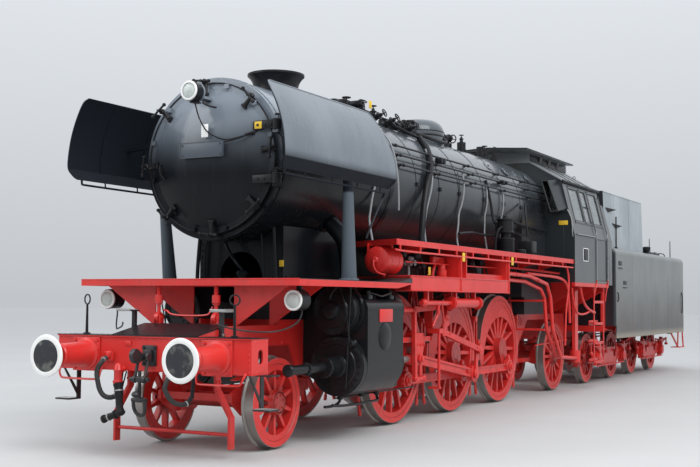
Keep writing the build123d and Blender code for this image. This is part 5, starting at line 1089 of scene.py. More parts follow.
for _ in both_sides(black_pipes, pale_pipes):
    black_pipes.tube(wrap(6168, 5560, 4110, 3300, 50) + [(5400, 1010, 2900), (5340, 1010, 2455)], 46, 3)
    black_pipes.tube(
        [(6497, 300, 4262), (6700, 420, 4226), (7000, 470, 4200), (7300, 480, 4196), (7420, 480, 4200),
         (7460, 470, 4240), (7480, 400, 4290)], 30, 3,
    )
    for high_station, low_station, high, low in (
        (4115, 3889, 3500, 2700), (5950, 5560, 3900, 2700), (7060, 6750, 3700, 2600),
    ):
        off = 44 if high_station > 4600 else 30
        line = wrap(high_station, low_station, high, low, off)
        pale_pipes.tube(line + [(low_station - 20, 1000, 2455)], 15, 2)
    for station in (7900, 8640):
        line = wrap(station + 60, station, 3560, 2750, 40)
        pale_pipes.tube(line + [(station, 1000, 2455)], 13, 2)
    pale_pipes.tube(
        [(4560, 700, 4012), (4620, 760, 3980), (4640, 900, 3800), (4650, 1000, 3320), (4660, 990, 2900)],
        14, 2,
    )
    black_pipes.tube([(6700, 1010, 2700), (7200, 1015, 2760), (7700, 1015, 2720), (8000, 1090, 2740)], 22, 2)
    black_pipes.tube(
        [(8180, 1180, 2900), (8500, 1060, 3060), (9000, 1000, 3060), (9600, 985, 3000), (10900, 985, 2980)],
        20, 2,
    )
    black_pipes.tube([(9300, 1180, 2500), (9300, 1180, 2900), (9420, 1100, 3200), (9700, 1000, 3400)], 17, 2)
    for station in (4800, 6000, 7400, 8700, 10000):
        for height, out in ((3810, 70), (3670, 75), (3530, 80)):
            y = sqrt(barrel_radius ** 2 - (height - boiler_height) ** 2) + out
            black_pipes.turned(
                [(-26, 0), (-26, 20), (-20, 24), (20, 24), (26, 20), (26, 0)],
                (station, y, height), forward, 14,
            )
            black_pipes.turned(
                [(0, 0), (0, 34), (12, 34), (18, 14), (40, 12)], (station, y - out - 2, height), left, 14,
            )
    for station in (6080, 6180, 8640, 8800):
        heights = (3700, 3780) if station < 7000 else (3640, 3700)
        black_pipes.block((station - 36, station + 36), (905, 1010), heights, 8)
black_pipes.fit("black_pipes", works_black, "locomotive", "black_steel")
pale_pipes.fit("primed_pipes", primer, "locomotive", "black_steel")

# Cylinders: black clad castings with bolted covers fore and aft, the piston's tail rod tube,
# the valve chest drums, an oval bulge, drain cocks and their pipes, and a blank red plate.
cylinder_black = satin_paint(
    "cylinder_black", rgb(0.009, 0.010, 0.011), rgb(0.017, 0.018, 0.020), rgb(0.034, 0.029, 0.025), 1.0, 0.26,
    coat=0.22, relief=0.0001, shine=0.12,
)
dress(cylinder_black, "cylinders")
covers = Work()
y, chest_height = 1100, 1560
for _ in both_sides(covers):
    covers.turned(
        [(0, 350), (8, 357), (13, 344), (17, 262), (28, 250), (32, 150), (52, 140), (60, 118), (290, 112),
         (312, 124), (330, 118), (334, 60), (334, 0)],
        (2780, y, axle_height), forward, 56,
    )
    for station, radius, count, size in ((2770, 306, 24, 34), (2750, 198, 8, 24), (2446, 88, 6, 22)):
        covers.bolt_circle((station, y, axle_height), forward, radius, count, size)
    covers.turned(
        [(0, 0), (0, 62), (8, 70), (40, 70), (52, 58), (60, 0)], (1700, y, axle_height), forward, 28,
    )
    covers.turned([(0, 0), (0, 74), (26, 74), (30, 66), (30, 0)], (2080, y, axle_height), forward, 24)
    # Valve chest drum above, with its flange, ring of nuts and the valve spindle's guard.
    covers.turned(
        [(0, 266), (6, 275), (20, 275), (26, 214), (44, 202), (50, 112), (104, 92), (112, 70), (112, 0)],
        (2680, y, chest_height), forward, 48,
    )
    for station, radius, count, size in ((2662, 244, 18, 30), (2636, 158, 6, 22), (2810, 304, 20, 24)):
        covers.bolt_circle((station, y, chest_height), forward, radius, count, size)
    for station in (2702, 2790):
        covers.ring((station, y, chest_height), forward, 285, 6, 48)
    covers.bolt_circle((3918, y, chest_height), backward, 304, 20, 24)
    covers.turned(
        [(0, 182), (10, 188), (30, 188), (36, 140), (60, 128), (84, 76), (88, 0)],
        (4008, 1190, chest_height), backward, 36,
    )
    covers.bolt_circle((4038, 1190, chest_height), backward, 166, 12, 24)
    covers.turned(
        [(0, 0), (0, 300), (30, 306), (44, 290), (52, 160), (90, 130), (130, 104), (132, 0)],
        (3950, y, axle_height), backward, 40,
    )
    covers.bolt_circle((3986, y, axle_height), backward, 262, 16, 30)
    # Outer casing: the oval bulge, seam screws and the studs and stays along its top.
    covers.turned(
        [(0, 0), (0, 166), (8, 163), (20, 140), (28, 96), (32, 40), (32, 0)], (3325, 1462, 1246), left, 40,
    )
    for station in (2900, 3796):
        covers.rivets((station, 1462, 930), (station, 1462, 1560), 8, left, 9)
    covers.rivets((2960, 1462, 1572), (3740, 1462, 1572), 7, left, 10)
    for station in (2980, 3340, 3700):
        covers.turned(
            [(0, 0), (0, 34), (14, 34), (20, 16), (60, 14), (60, 0)], (station, 1300, 1692), upward, 14,
        )
    for station in (3060, 3640):
        covers.block((station - 55, station + 55), (1180, 1400), (1696, 1750), 10)
        covers.rod((station, 1360, 1740), (station, 1360, 1800), 30, sides=14)
    covers.tube(
        [(3060, 1380, 1776), (3200, 1400, 1760), (3340, 1400, 1730), (3500, 1400, 1760), (3640, 1380, 1776)],
        11, 2,
    )
    # Drain cocks below, with their linkage and pipes led forward.
    for station in (2860, 3400, 3800):
        covers.rod((station, y, 600), (station, y, 500), 24, sides=12)
        covers.turned([(0, 0), (0, 34), (36, 34), (40, 18), (44, 0)], (station, y, 540), downward, 14)
    covers.rod((2800, 1062, 520), (5000, 1062, 520), 11, sides=8)
    covers.tube(
        [(3800, y, 500), (3800, 1130, 440), (3700, 1160, 430), (2700, 1160, 430), (2560, 1160, 460)], 17, 2,
    )
    covers.tube([(2860, y, 500), (2840, 1090, 450), (2640, 1080, 430), (2520, 1080, 440)], 17, 2)
    # Relief valve, lubricator pipes and the thin rods ahead of the chest.
    covers.turned(
        [(0, 44), (30, 44), (40, 34), (90, 30), (100, 40), (120, 36), (124, 0)],
        (2780, 1330, 1180), forward, 20,
    )
    covers.tube([(2660, 1330, 1180), (2620, 1340, 1300), (2600, 1300, 1650), (2620, 1200, 1880)], 10, 1)
    covers.tube([(2600, y, 1690), (2560, 1120, 1780), (2580, 1250, 1880)], 12, 2)
    covers.rod((2740, 1240, 640), (2560, 1400, 1860), 9, sides=8)
covers.fit("cylinder_covers", cylinder_black, "locomotive", "black_paint")
tags = Work()
for _ in both_sides(tags):
    tags.block((3165, 3519), (1462, 1472), (1423, 1579), 4)
    for station in (3185, 3499):
        tags.rivets((station, 1472, 1440), (station, 1472, 1562), 2, left, 8)
tags.fit("cylinder_tags", frame_red, "locomotive", "red_frame")

# Wheels: cast red centres with shrunk-on tyres. The tread and flange are bare steel, rubbed
# bright by running, and the tyre's side is painted like the spokes.
def wheel_finish(name, station, diameter):
    """Red paint on a wheel centre with a bare bright tread, about one axle."""
    paint = Finish(name)
    x = paint.axis("X") - (half_length - station / 1000)
    z = paint.axis("Z") - (0.028 + diameter / 2000)
    reach = (x * x + z * z) ** 0.5
    bare = paint.band(reach, diameter / 2000 - 0.004, diameter / 2000 - 0.002)
    oil = 1 - paint.band(reach + paint.noise(0.06) * 0.14, 0.16, 0.34)
    dirt = paint.band(paint.noise(0.09, detail=5), 0.48, 0.72)
    fade = paint.band(paint.noise(0.45), 0.35, 0.7)
    groove = paint.band(reach, diameter / 2000 - 0.074, diameter / 2000 - 0.070)
    groove = groove * (1 - paint.band(reach, diameter / 2000 - 0.066, diameter / 2000 - 0.062))
    red = paint.blend(fade * 0.5, rgb(0.56, 0.022, 0.019), rgb(0.64, 0.045, 0.036))
    red = paint.blend(dirt * 0.28, red, rgb(0.17, 0.052, 0.034))
    red = paint.blend(oil * 0.45, red, rgb(0.075, 0.020, 0.015))
    red = paint.blend(groove * 0.6, red, rgb(0.10, 0.02, 0.016))
    paint.bump(paint.noise(0.012, detail=3) + (1 - bare) * 0.4, 0.0007)
    paint.set(
        Base_Color=paint.blend(bare, red, rgb(0.34, 0.32, 0.30)),
        Metallic=bare * 0.85, Roughness=0.40 + dirt * 0.14 - oil * 0.12 - bare * 0.06,
    )
    return paint


axle_rows = (
    # node and body, station, diameter, hub radius, hub face
    ("lead_wheelset", 1900, 1000, 130, 850),
    ("driver_1", 4900, 1750, 170, 878),
    ("driver_2", 6900, 1750, 170, 878),
    ("driver_3", 8900, 1750, 170, 878),
    ("trail_wheelset", 11800, 1250, 140, 850),
    ("tender_wheelset_1", 13950, 1000, 130, 850),
    ("tender_wheelset_2", 15850, 1000, 130, 850),
    ("tender_wheelset_3", 17625, 1000, 130, 850),
    ("tender_wheelset_4", 19525, 1000, 130, 850),
)
for node, station, diameter, hub, hub_face in axle_rows:
    paint = wheel_finish(f"{node}_red", station, diameter)
    dress(paint, node)
    height = 28 + diameter / 2
    rim = diameter / 2 - 70
    caps = Work()
    rows = [(790, hub + 22), (802, hub + 16), (hub_face - 8, hub + 4), (hub_face, hub - 6), (hub_face, 112)]
    rows += [(hub_face + 5, 104), (hub_face + 5, 66), (hub_face - 3, 60), (hub_face - 3, 0)]
    end_fixing, size = caps.bolt, 22
    if node.startswith("driver"):
        rows = [(hub_face + 1, 118), (hub_face + 3, 112), (hub_face + 3, 66), (hub_face, 58), (hub_face, 0)]
        end_fixing, size = caps.rivet, 9
    for _ in both_sides(caps):
        base = (station, 0, height)
        caps.turned(rows, base, left, 36)
        # Retaining ring and the joint of the tyre on the rim.
        caps.turned([(807, rim - 4), (811, rim), (811, rim + 14), (807, rim + 18)], base, left, 72)
        caps.circle(caps.rivet, (station, 807, height), left, rim - 34, 16, 11)
        caps.circle(end_fixing, (station, hub_face + 3, height), left, 84, 6, size)
    caps.fit(f"{node}_caps", paint, node, "red_wheels")

# Coupling rods: red fluted forgings. Brass-bushed eyes have turned collars, oil cups with
# caps, wedge bolts and polished pin ends with their nuts.
rod_red = paint = Finish("rod_red")
grease = paint.band(paint.noise(0.18, detail=5), 0.44, 0.72)
speck = paint.noise(0.01, detail=3)
paint.bump(speck, 0.0005)
paint.set(
    Base_Color=paint.blend(grease * 0.4, rgb(0.60, 0.024, 0.020), rgb(0.22, 0.038, 0.028)),
    Roughness=0.30 + speck * 0.12 + grease * 0.10,
)
dress(rod_red, "coupling_rods_left", "coupling_rods_right", "crossheads", "main_rods", "valve_gear")
dress(rod_red, "slidebars")
throw, driver_stations = 330, (4900, 6900, 8900)
for hand, side, degrees in (("left", 1, -110), ("right", -1, -200)):
    rods, pins = Work(side), Work(side)
    pin_shift = throw * cos(radians(degrees))
    pin_height = axle_height + throw * sin(radians(degrees))
    for number, station in enumerate(driver_stations, start=1):
        eye = (station - pin_shift, 890, pin_height)
        rods.turned([(74, 128), (80, 124), (80, 92), (76, 88)], eye, left, 36)
        rods.turned([(1, 128), (-3, 124), (-3, 92), (1, 88)], eye, left, 36)
        rods.block((eye[0] - 34, eye[0] + 34), (902, 952), (pin_height + 160, pin_height + 186), 8)
        rods.rod((eye[0], 927, pin_height + 184), (eye[0], 927, pin_height + 204), 20, sides=6)
        rods.bolts((eye[0] - 30, 953, pin_height + 100), (eye[0] + 30, 953, pin_height + 100), 2, left, 22)
        rods.bolts((eye[0] - 152, 953, pin_height - 34), (eye[0] - 152, 953, pin_height + 34), 2, left, 26)
        if number != 2:
            pins.turned(
                [(80, 0), (80, 74), (94, 74), (100, 66), (100, 36), (118, 34), (122, 28), (122, 0)],
                eye, left, 24,
            )
            pins.bolt_circle((eye[0], 984, pin_height), left, 52, 4, 18)
            pins.fit(f"crank_pin_cap_{hand}_{number}", rod_red, f"driver_{number}", "rod_steel")
            pins = Work(side)
    knuckle = (6900 - pin_shift + 240, 890, pin_height)
    rods.turned([(75, 40), (82, 40), (86, 34), (86, 0)], knuckle, left, 20)
    for first, last in zip(driver_stations, driver_stations[1:]):
        run = (first - pin_shift + 175, last - pin_shift - 175)
        for inner, outer in ((-55, -59), (55, 59)):
            rods.block(run, (953, 959), (pin_height + inner, pin_height + outer), 1)
    rods.fit(f"coupling_rod_trim_{hand}", rod_red, f"rods_{hand}", "rod_steel")
    pins.mesh.free()

# Motion work: crosshead shoes, slide bar bolts, link and lever forks, rod straps and oil
# cups. Everything is red with dark grease at the pins, bolted through.
motion, steel = Work(), Work()
rod_length, gear_throw = 2100, 148
for side, degrees in ((1, -110), (-1, -200)):
    motion.side = steel.side = side
    pin_x = 6900 - throw * cos(radians(degrees))
    pin_z = axle_height + throw * sin(radians(degrees))
    cross = pin_x - sqrt(rod_length ** 2 - (axle_height - pin_z) ** 2)
    gear_angle = radians(degrees + 270 * side)
    gear = (6900 - gear_throw * cos(gear_angle), axle_height + gear_throw * sin(gear_angle))
    # Slide bar with its end bolts, and bright worn running faces.
    for y in (1085, 1115):
        motion.bolts((4010, y, 1195), (4070, y, 1195), 2, upward, 34)
    motion.bolts((5400, 1141, 1150), (5400, 1141, 1180), 2, left, 26)
    steel.block((4120, 5340), (1064, 1136), (1126, 1130))
    steel.rod((4085, 1100, axle_height), (cross - 238, 1100, axle_height), 44, sides=24)
    # Crosshead pin nut, shoe bolts and the lug that takes the union link.
    motion.turned(
        [(0, 0), (0, 66), (20, 66), (26, 58), (26, 40), (44, 38), (50, 0)],
        (cross, 1190, axle_height), left, 6,
    )
    motion.bolts((cross - 150, 1170, 1090), (cross + 130, 1170, 1090), 4, left, 30)
    motion.bolts((cross - 200, 1170, 870), (cross - 200, 1170, 940), 2, left, 30)
    motion.block((cross + 20, cross + 100), (1150, 1178), (610, 860), 6)
    # Main rod: strap end with cotter, oil cups and eye collars.
    motion.turned([(0, 134), (5, 130), (5, 98), (0, 92)], (pin_x, 1140, pin_z), left, 36)
    motion.block((pin_x - 30, pin_x + 30), (1078, 1122), (pin_z + 126, pin_z + 176), 8)
    motion.rod((pin_x, 1100, pin_z + 176), (pin_x, 1100, pin_z + 192), 18, sides=6)
    motion.turned([(0, 80), (5, 76), (5, 52), (0, 48)], (cross, 1140, axle_height), left, 28)
    slope_x, slope_z = (pin_x - cross) / rod_length, (pin_z - axle_height) / rod_length
    for share in (230, 1860, 1910):
        motion.bolt((cross + slope_x * share, 1131, axle_height + slope_z * share), left, 30, 14)
    # Return crank: pinched on its pin and bolted.
    motion.turned([(0, 80), (6, 76), (6, 40), (14, 36), (14, 0)], (pin_x, 1174, pin_z), left, 24)
    motion.bolts((pin_x - 50, 1174, pin_z + 40), (pin_x - 50, 1174, pin_z - 40), 2, left, 22)
    motion.turned([(0, 70), (4, 66), (4, 46), (10, 42), (10, 0)], (gear[0], 1230, gear[1]), left, 24)
    motion.rod((gear[0], 1205, gear[1] + 62), (gear[0], 1205, gear[1] + 96), 16, sides=8)
    # Link, its slot and die, lever pins and the lift links to the reversing arm.
    motion.turned([(0, 66), (6, 62), (6, 34), (14, 30), (14, 0)], (5640, 1230, 1250), left, 24)
    motion.turned([(0, 88), (8, 84), (8, 50), (20, 44), (20, 0)], (5800, 1230, 1600), left, 28)
    for z in (1420, 1500, 1700, 1760):
        motion.bolt((5786, 1230, z), left, 24, 12)
    for y in (1240, 1262):
        motion.rod((5702, y, 1600), (5560, y, 1330), 16, sides=8)
    motion.turned([(-6, 0), (-6, 34), (30, 34), (30, 0)], (5560, 1240, 1330), left, 20)
    motion.turned([(0, 52), (6, 48), (6, 24), (16, 22), (16, 0)], (4700, 1230, 1560), left, 20)
    for z in (1460, 1250, 1050, 850):
        motion.rivet((4706, 1230, z), left, 12)
    motion.turned([(0, 44), (6, 40), (6, 22), (14, 20), (14, 0)], (4730, 1230, 640), left, 20)
    motion.turned([(0, 38), (6, 34), (6, 20), (12, 18), (12, 0)], (cross + 60, 1230, 640), left, 20)
    for share in (0.10, 0.90):
        motion.bolt((5720 + (gear[0] - 5720) * share, 1230, 1245 + (gear[1] - 1245) * share), left, 24, 10)
    # Shifting cylinder under the beam: flanges, gland, tie bolts and the lifting arm.
    for station in (5560, 6520):
        motion.turned([(-16, 0), (-16, 92), (0, 96), (16, 92), (16, 0)], (station, 1375, 1655), forward, 28)
    motion.bolt_circle((6536, 1375, 1655), backward, 70, 6, 22)
    motion.bolt_circle((5544, 1375, 1655), forward, 70, 6, 22)
    motion.turned([(0, 38), (40, 44), (60, 60), (76, 60), (80, 38)], (4560, 1375, 1655), backward, 24)
    motion.rod((5110, 1375, 1655), (5110, 1375, 1500), 24, sides=12)
    motion.rod((5110, 1372, 1510), (5010, 1340, 1340), 18, sides=10)
    motion.rod((5170, 1400, 1655), (5380, 1340, 1400), 15, sides=10)
motion.fit("motion_trim", rod_red, "locomotive", "rod_steel")
steel.fit("slide_faces", bare_steel, "locomotive", "rod_steel")

# Running boards and gear beams: red pressed plate with a thin pipe clipped along the
# valance, riveted joint plates, board brackets and blank yellow notice plates.
board, walk, yellow, recess, fittings = Work(), Work(), Work(), Work(), Work()
for _ in both_sides(board, recess, fittings, walk, yellow):
    board.tube(
        [(3560, 1478, 2320), (3600, 1486, 2306), (5000, 1488, 2305), (8000, 1488, 2305), (10880, 1488, 2305)],
        14, 2,
    )
    for station in range(3700, 10900, 600):
        board.block((station - 12, station + 12), (1470, 1490), (2300, 2384), 2)
    for station in range(3720, 10900, 120):
        board.rivet((station, 1480, 2440), left, 8)
    for station in (4600, 6400, 8300, 9500, 10600):
        bracket = ((960, 2435), (1464, 2435), (1464, 2390), (960, 2250))
        board.plate([(station, y, z) for y, z in bracket], (14, 0, 0))
        board.block((station - 40, station + 40), (940, 952), (2240, 2430))
    # Beam: edge flanges, joint plates and rivets.
    for low in (1996, 1810):
        board.block((4020, 7585), (1480, 1490), (low, low + 14), 2)
    for station in (5662, 7585):
        board.block((station - 9, station + 9), (1400, 1492), (1800, 2300 if station < 7000 else 2380), 2)
    for station in (4060, 5600, 5720, 7520):
        board.rivets((station, 1480, 1845), (station, 1480, 1978), 5, left, 10)
    for z in (1988, 1832):
        board.rivets((4100, 1480, z), (7540, 1480, z), 40, left, 7)
    # Behind the beam: a low red ledge, cross plates and a thin rail over the recess, whose back wall is
    # painted shade.
    board.block((5662, 7585), (1381, 1389), (2010, 2085))
    board.rod((4250, 1300, 2190), (7585, 1300, 2200), 10, sides=8)
    board.block((5652, 5662), (1250, 1400), (1820, 2300))
    board.block((7575, 7585), (1100, 1400), (1820, 2370))
    board.rivets((5700, 1389, 2048), (7550, 1389, 2048), 24, left, 8)
    board.tube([(5200, 1250, 2010), (5200, 1250, 2120), (5400, 1230, 2230), (5620, 1230, 2240)], 24, 2)
    board.turned(
        [(0, 0), (0, 70), (20, 76), (90, 76), (100, 60), (170, 54), (180, 0)], (5480, 1260, 2020), upward, 24,
    )
    board.block((5250, 5640), (1180, 1240), (2200, 2300), 10)
    # The recess's back wall is a black sheet of painted shade.
    recess.block((4200, 7580), (1016, 1024), (2010, 2440))
    for station, z in ((4500, 2290), (4950, 2300), (6000, 2250), (6400, 2300), (6900, 2240), (7300, 2290)):
        recess.turned(
            [(0, 0), (0, 70), (60, 84), (120, 80), (150, 40), (150, 0)], (station, 1024, z), left, 20,
        )
        recess.tube([(station, 1150, z), (station + 60, 1200, z - 60), (station + 60, 1210, 2030)], 14, 2)
    valve(fittings, (4470, 1230, 2180), left, 46)
    valve(fittings, (4540, 1230, 2240), forward, 40, False)
    fittings.tube([(4470, 1230, 2150), (4490, 1230, 2080), (4470, 1230, 2010)], 16, 2)
    valve(recess, (4820, 1180, 2160), left, 58)
    recess.tube([(4820, 1180, 2150), (4840, 1180, 2080), (4840, 1190, 2010)], 12, 2)
    walk.block((4080, 10940), (1010, 1470), (2455, 2459), 1)
    walk.block((1240, 2340), (620, 1484), (1910, 1913), 1)
    for station, z in ((5721, 2301), (7699, 2312)):
        yellow.block((station - 46, station + 46), (1494, 1500), (z - 62, z + 62), 2)
    yellow.block((4930, 5005), (1306, 1312), (2034, 2142), 2)
    yellow.block((4917, 5017), (1300, 1306), (2030, 2040), 1)
board.fit("board_trim", frame_red, "locomotive", "red_frame")
recess.fit("beam_recess", works_black, "locomotive", "black_steel")
fittings.fit("beam_valves", primer, "locomotive", "black_steel")
tread_plate = paint = Finish("tread_plate")
studs = diamonds(tread_plate)
trodden = paint.band(paint.noise(0.3, detail=5), 0.42, 0.72)
paint.bump(studs, 0.0016)
paint.set(
    Base_Color=paint.blend(trodden * 0.5, rgb(0.022, 0.022, 0.024), rgb(0.080, 0.072, 0.062)),
    Roughness=0.42 + trodden * 0.2 - studs * 0.06,
)
walk.fit("walkway_plates", tread_plate, "locomotive", "black_paint")
notice_yellow = satin_paint(
    "notice_yellow", rgb(0.74, 0.47, 0.02), rgb(0.66, 0.44, 0.05), rgb(0.24, 0.17, 0.05), 0.9, 0.4
)
yellow.block((5220, 5300), (236, 244), (4440, 4550), 2)
yellow.block((2326, 2334), (560, 620), (2075, 2150), 2)
yellow.block((1632, 1640), (646, 742), (3610, 3692), 2)
yellow.fit("notice_plates", notice_yellow, "locomotive")

# Air reservoirs: red drums with domed ends, weld seams, straps, drain cocks and unions.
drums = Work()
for _ in both_sides(drums):
    for station, axis in ((3760, forward), (4150, backward)):
        drums.turned([(0, 176), (24, 170), (44, 140), (58, 90), (62, 0)], (station, 1130, 2195), axis, 40)
    for station in (3840, 4050):
        drums.ring((station, 1130, 2195), forward, 175, 5, 40)
        drums.block((station - 22, station + 22), (947, 969), (2180, 2420), 3)
    drums.turned([(0, 40), (14, 44), (26, 34), (30, 0)], (3700, 1130, 2195), forward, 20)
    drums.tube(
        [(3705, 1130, 2195), (3660, 1130, 2195), (3640, 1130, 2120), (3660, 1180, 2020), (3760, 1240, 2010)],
        13, 2,
    )
    drums.rod((3950, 1130, 2020), (3950, 1130, 1985), 16, sides=8)
drums.fit("reservoir_trim", frame_red, "locomotive", "red_frame")

# Pumps: black ribbed cylinders one above the other on the board, with cooling fins, head
# bolts, a centre body and the steam and air pipes that join them.
dress(works_black, "air_pump")
pumps = Work()
y = 1230
for _ in both_sides(pumps):
    for level in range(9):
        pumps.turned([(0, 134), (2, 150), (8, 150), (10, 134)], (8100, y, 2484 + 21 * level), upward, 36)
    for low, radius in ((2455, 150), (2668, 150), (2780, 140), (2980, 140)):
        pumps.turned(
            [(0, 0), (0, radius - 4), (6, radius), (24, radius), (30, radius - 6), (30, 0)],
            (8100, y, low), upward, 36,
        )
        pumps.bolt_circle((8100, y, low + 30), upward, radius - 22, 10, 20)
    pumps.turned([(0, 0), (0, 46), (20, 46), (28, 34), (56, 30), (60, 0)], (8100, y, 3008), upward, 24)
    pumps.block((8040, 8160), (1075, 1120), (2810, 2960), 10)
    pumps.tube([(8100, 1075, 2920), (8100, 1010, 3000), (8100, 985, 3300), (8080, 900, 3650)], 22, 2)
    pumps.tube([(8220, y, 2570), (8320, y, 2570), (8360, y, 2520), (8360, y, 2470)], 20, 2)
    pumps.tube([(7990, y, 2880), (7900, 1200, 2860), (7860, 1150, 2700), (7860, 1150, 2460)], 18, 2)
    pumps.turned([(0, 84), (10, 90), (80, 90), (92, 70), (96, 0)], (8760, 1250, 2455), upward, 24)
    pumps.block((8980, 9240), (1130, 1370), (2459, 2700), 16)
    pumps.bolts((9010, 1371, 2500), (9210, 1371, 2500), 4, left, 20)
    for number in range(6):
        start, end, z = 9000 + 40 * number, 9000 + 46 * number, 2830 + 8 * number
        pumps.tube([(start, 1250, 2700), (start, 1200, 2790), (end, 1020, z), (end, 950, 2900)], 6, 1)
pumps.fit("pump_trim", works_black, "locomotive", "black_paint")

# Underneath: brake hangers and rods, sand pipes, frame rivets, springs over the axleboxes and
# truck springs. All red, forged or rolled, and fixed to the frame plates.
under = Work()
for _ in both_sides(under):
    for station in range(760, 10800, 180):
        if not any(abs(station - axle) < 260 for axle in driver_stations):
            under.rivet((station, 576, 1180 if station < 2500 else 1400), left, 12)
    for station in driver_stations:
        for layer in range(8):
            half = 520 - 52 * layer
            under.block(
                (station - half, station + half), (500, 590), (1470 + 16 * layer, 1484 + 16 * layer), 2,
            )
        under.block((station - 60, station + 60), (492, 598), (1462, 1606), 6)
        for offset in (-200, 200):
            under.bolts((station + offset, 616, 760), (station + offset, 616, 1060), 4, left, 28)
        for offset in (-960, 930):
            under.tube(
                [(station + offset, 640, 1900), (station + offset, 700, 1500),
                 (station + offset * 0.985, 745, 700), (station + offset * 0.93, 750, 260)], 20, 2,
            )
            under.rod(
                (station + offset * 0.93, 750, 270), (station + offset * 0.91, 750, 190), 26, 22, sides=12,
            )
    for station in (5900, 7900):
        for y in (742, 798):
            under.block((station - 30, station + 30), (y - 6, y + 6), (560, 640), 4)
        under.rod((station, 735, 600), (station, 812, 600), 30, sides=12)
        under.rod((station, 735, 1400), (station, 812, 1400), 46, sides=16)
    for station, z in ((1900, 528), (11800, 653)):
        for layer in range(7):
            half = 380 - 44 * layer
            under.block(
                (station - half, station + half), (440, 510), (z + 250 + 15 * layer, z + 263 + 15 * layer), 2,
            )
    under.tube(
        [(10900, 1330, 2380), (10900, 1400, 2250), (10850, 1420, 1900), (10700, 1400, 1500),
         (10700, 1390, 900)], 20, 2,
    )
    under.tube(
        [(8900, 1310, 2150), (9900, 1330, 2140), (10700, 1380, 2100), (10900, 1400, 1900),
         (10960, 1400, 1300)], 26, 2,
    )
    under.tube([(8200, 1160, 2240), (9500, 1180, 2230), (10850, 1240, 2200)], 20, 2)
    for station, z in ((8213, 2122), (9300, 2055)):
        under.ring((station, 1350, z), forward, 34, 8, 20)
    under.plate(
        [(10120, 600, 880), (10980, 600, 1560), (10980, 600, 1830), (10680, 600, 1830), (9950, 600, 1090),
         (9950, 600, 880)], (0, 20, 0), 3,
    )
    for station, z, radius in ((10180, 1090, 76), (10460, 1330, 76), (10760, 1600, 76)):
        under.turned(
            [(20, radius), (28, radius), (28, radius + 22), (20, radius + 22)],
            (station, 600, z), left, 28, closed=True,
        )
    for z in (1200, 1700):
        under.rod((9750, 600, z), (9750, 1330, z), 18, sides=10)
    under.rod((9700, 1180, 930), (11450, 1180, 980), 11, sides=8)
under.fit("underframe_trim", frame_red, "locomotive", "red_frame")

# Cab: welded grey sheets with rolled edges. Window frames, box shields over the front windows,
# drip gutters, door trim, draught plates at the rear corners and a blank framed plate.
cab_paint = paint = Finish("cab_paint")
cloud = paint.band(paint.noise(0.9), 0.35, 0.7)
rain = paint.band(paint.noise(0.09, (1, 1, 0.08), 5), 0.50, 0.76)
dusty = 1 - paint.band(paint.axis("Z") + paint.noise(0.35) * 0.5, 1.7, 2.8)
cab_grain = paint.noise(0.012, detail=3)
black_part = paint.band(paint.axis("X"), -0.3082, -0.3078)
rail_part = paint.band(paint.math("ABSOLUTE", paint.axis("Y")), 1.5030, 1.5032)
grey = paint.blend(cloud * 0.6, rgb(0.048, 0.053, 0.056), rgb(0.070, 0.077, 0.080))
grey = paint.blend(dusty * 0.45, grey, rgb(0.140, 0.130, 0.115))
grey = paint.blend(rain * 0.25, grey, rgb(0.17, 0.18, 0.18))
grey = paint.blend(black_part, grey, rgb(0.018, 0.023, 0.026))
paint.bump(cab_grain + cloud * 1.2, 0.0005)
paint.set(
    Base_Color=paint.blend(rail_part, grey, rgb(0.30, 0.31, 0.31)),
    Roughness=0.30 + dusty * 0.12 + rain * 0.08 + cab_grain * 0.05,
    Metallic=rail_part * 0.7, Coat_Weight=0.3, Coat_Roughness=0.12, Specular_IOR_Level=0.4,
)
roof_paint = paint = Finish("roof_paint")
soot = paint.band(paint.noise(0.8, (0.6, 1, 1), 5), 0.38, 0.72)
roof_grain = paint.noise(0.02, detail=3)
front_end = paint.band(paint.axis("X"), 0.3145, 0.3155)
# The roof's pale grey is partly a painted sky reflection, darker in the soot patches.
sooty_and_sky_lit = paint.blend(soot * 0.6, rgb(0.20, 0.215, 0.225), rgb(0.13, 0.135, 0.14))
paint.bump(roof_grain + soot, 0.0006)
paint.set(
    Base_Color=paint.blend(front_end, sooty_and_sky_lit, rgb(0.010, 0.014, 0.018)),
    Roughness=0.30 + soot * 0.16 + roof_grain * 0.06,
    Coat_Weight=0.25 - front_end * 0.25, Coat_Roughness=0.14, Specular_IOR_Level=0.3,
)
window_glass = paint = Finish("window_glass")
smear = paint.band(paint.noise(0.22, (1, 1, 0.3), 5), 0.40, 0.72)
paint.set(
    Base_Color=paint.blend(smear, rgb(0.80, 0.86, 0.88), rgb(0.66, 0.72, 0.72)),
    Roughness=0.03 + smear * 0.08, Transmission_Weight=0.88, IOR=1.3,
)
dress(cab_paint, "cab_shell", "cab_door_left", "cab_door_right")
dress(roof_paint, "cab_roof")
dress(window_glass, "cab_windows")
dress(works_black, "cab_interior")
dress(frame_red, "cab_steps")


wall_out, wall_bend, wall_lean = 1500, 2900, 0.2451


def wall_side(height):
    """How far out the cab's side wall stands at a height."""
    return wall_out - max(height - wall_bend, 0) * wall_lean


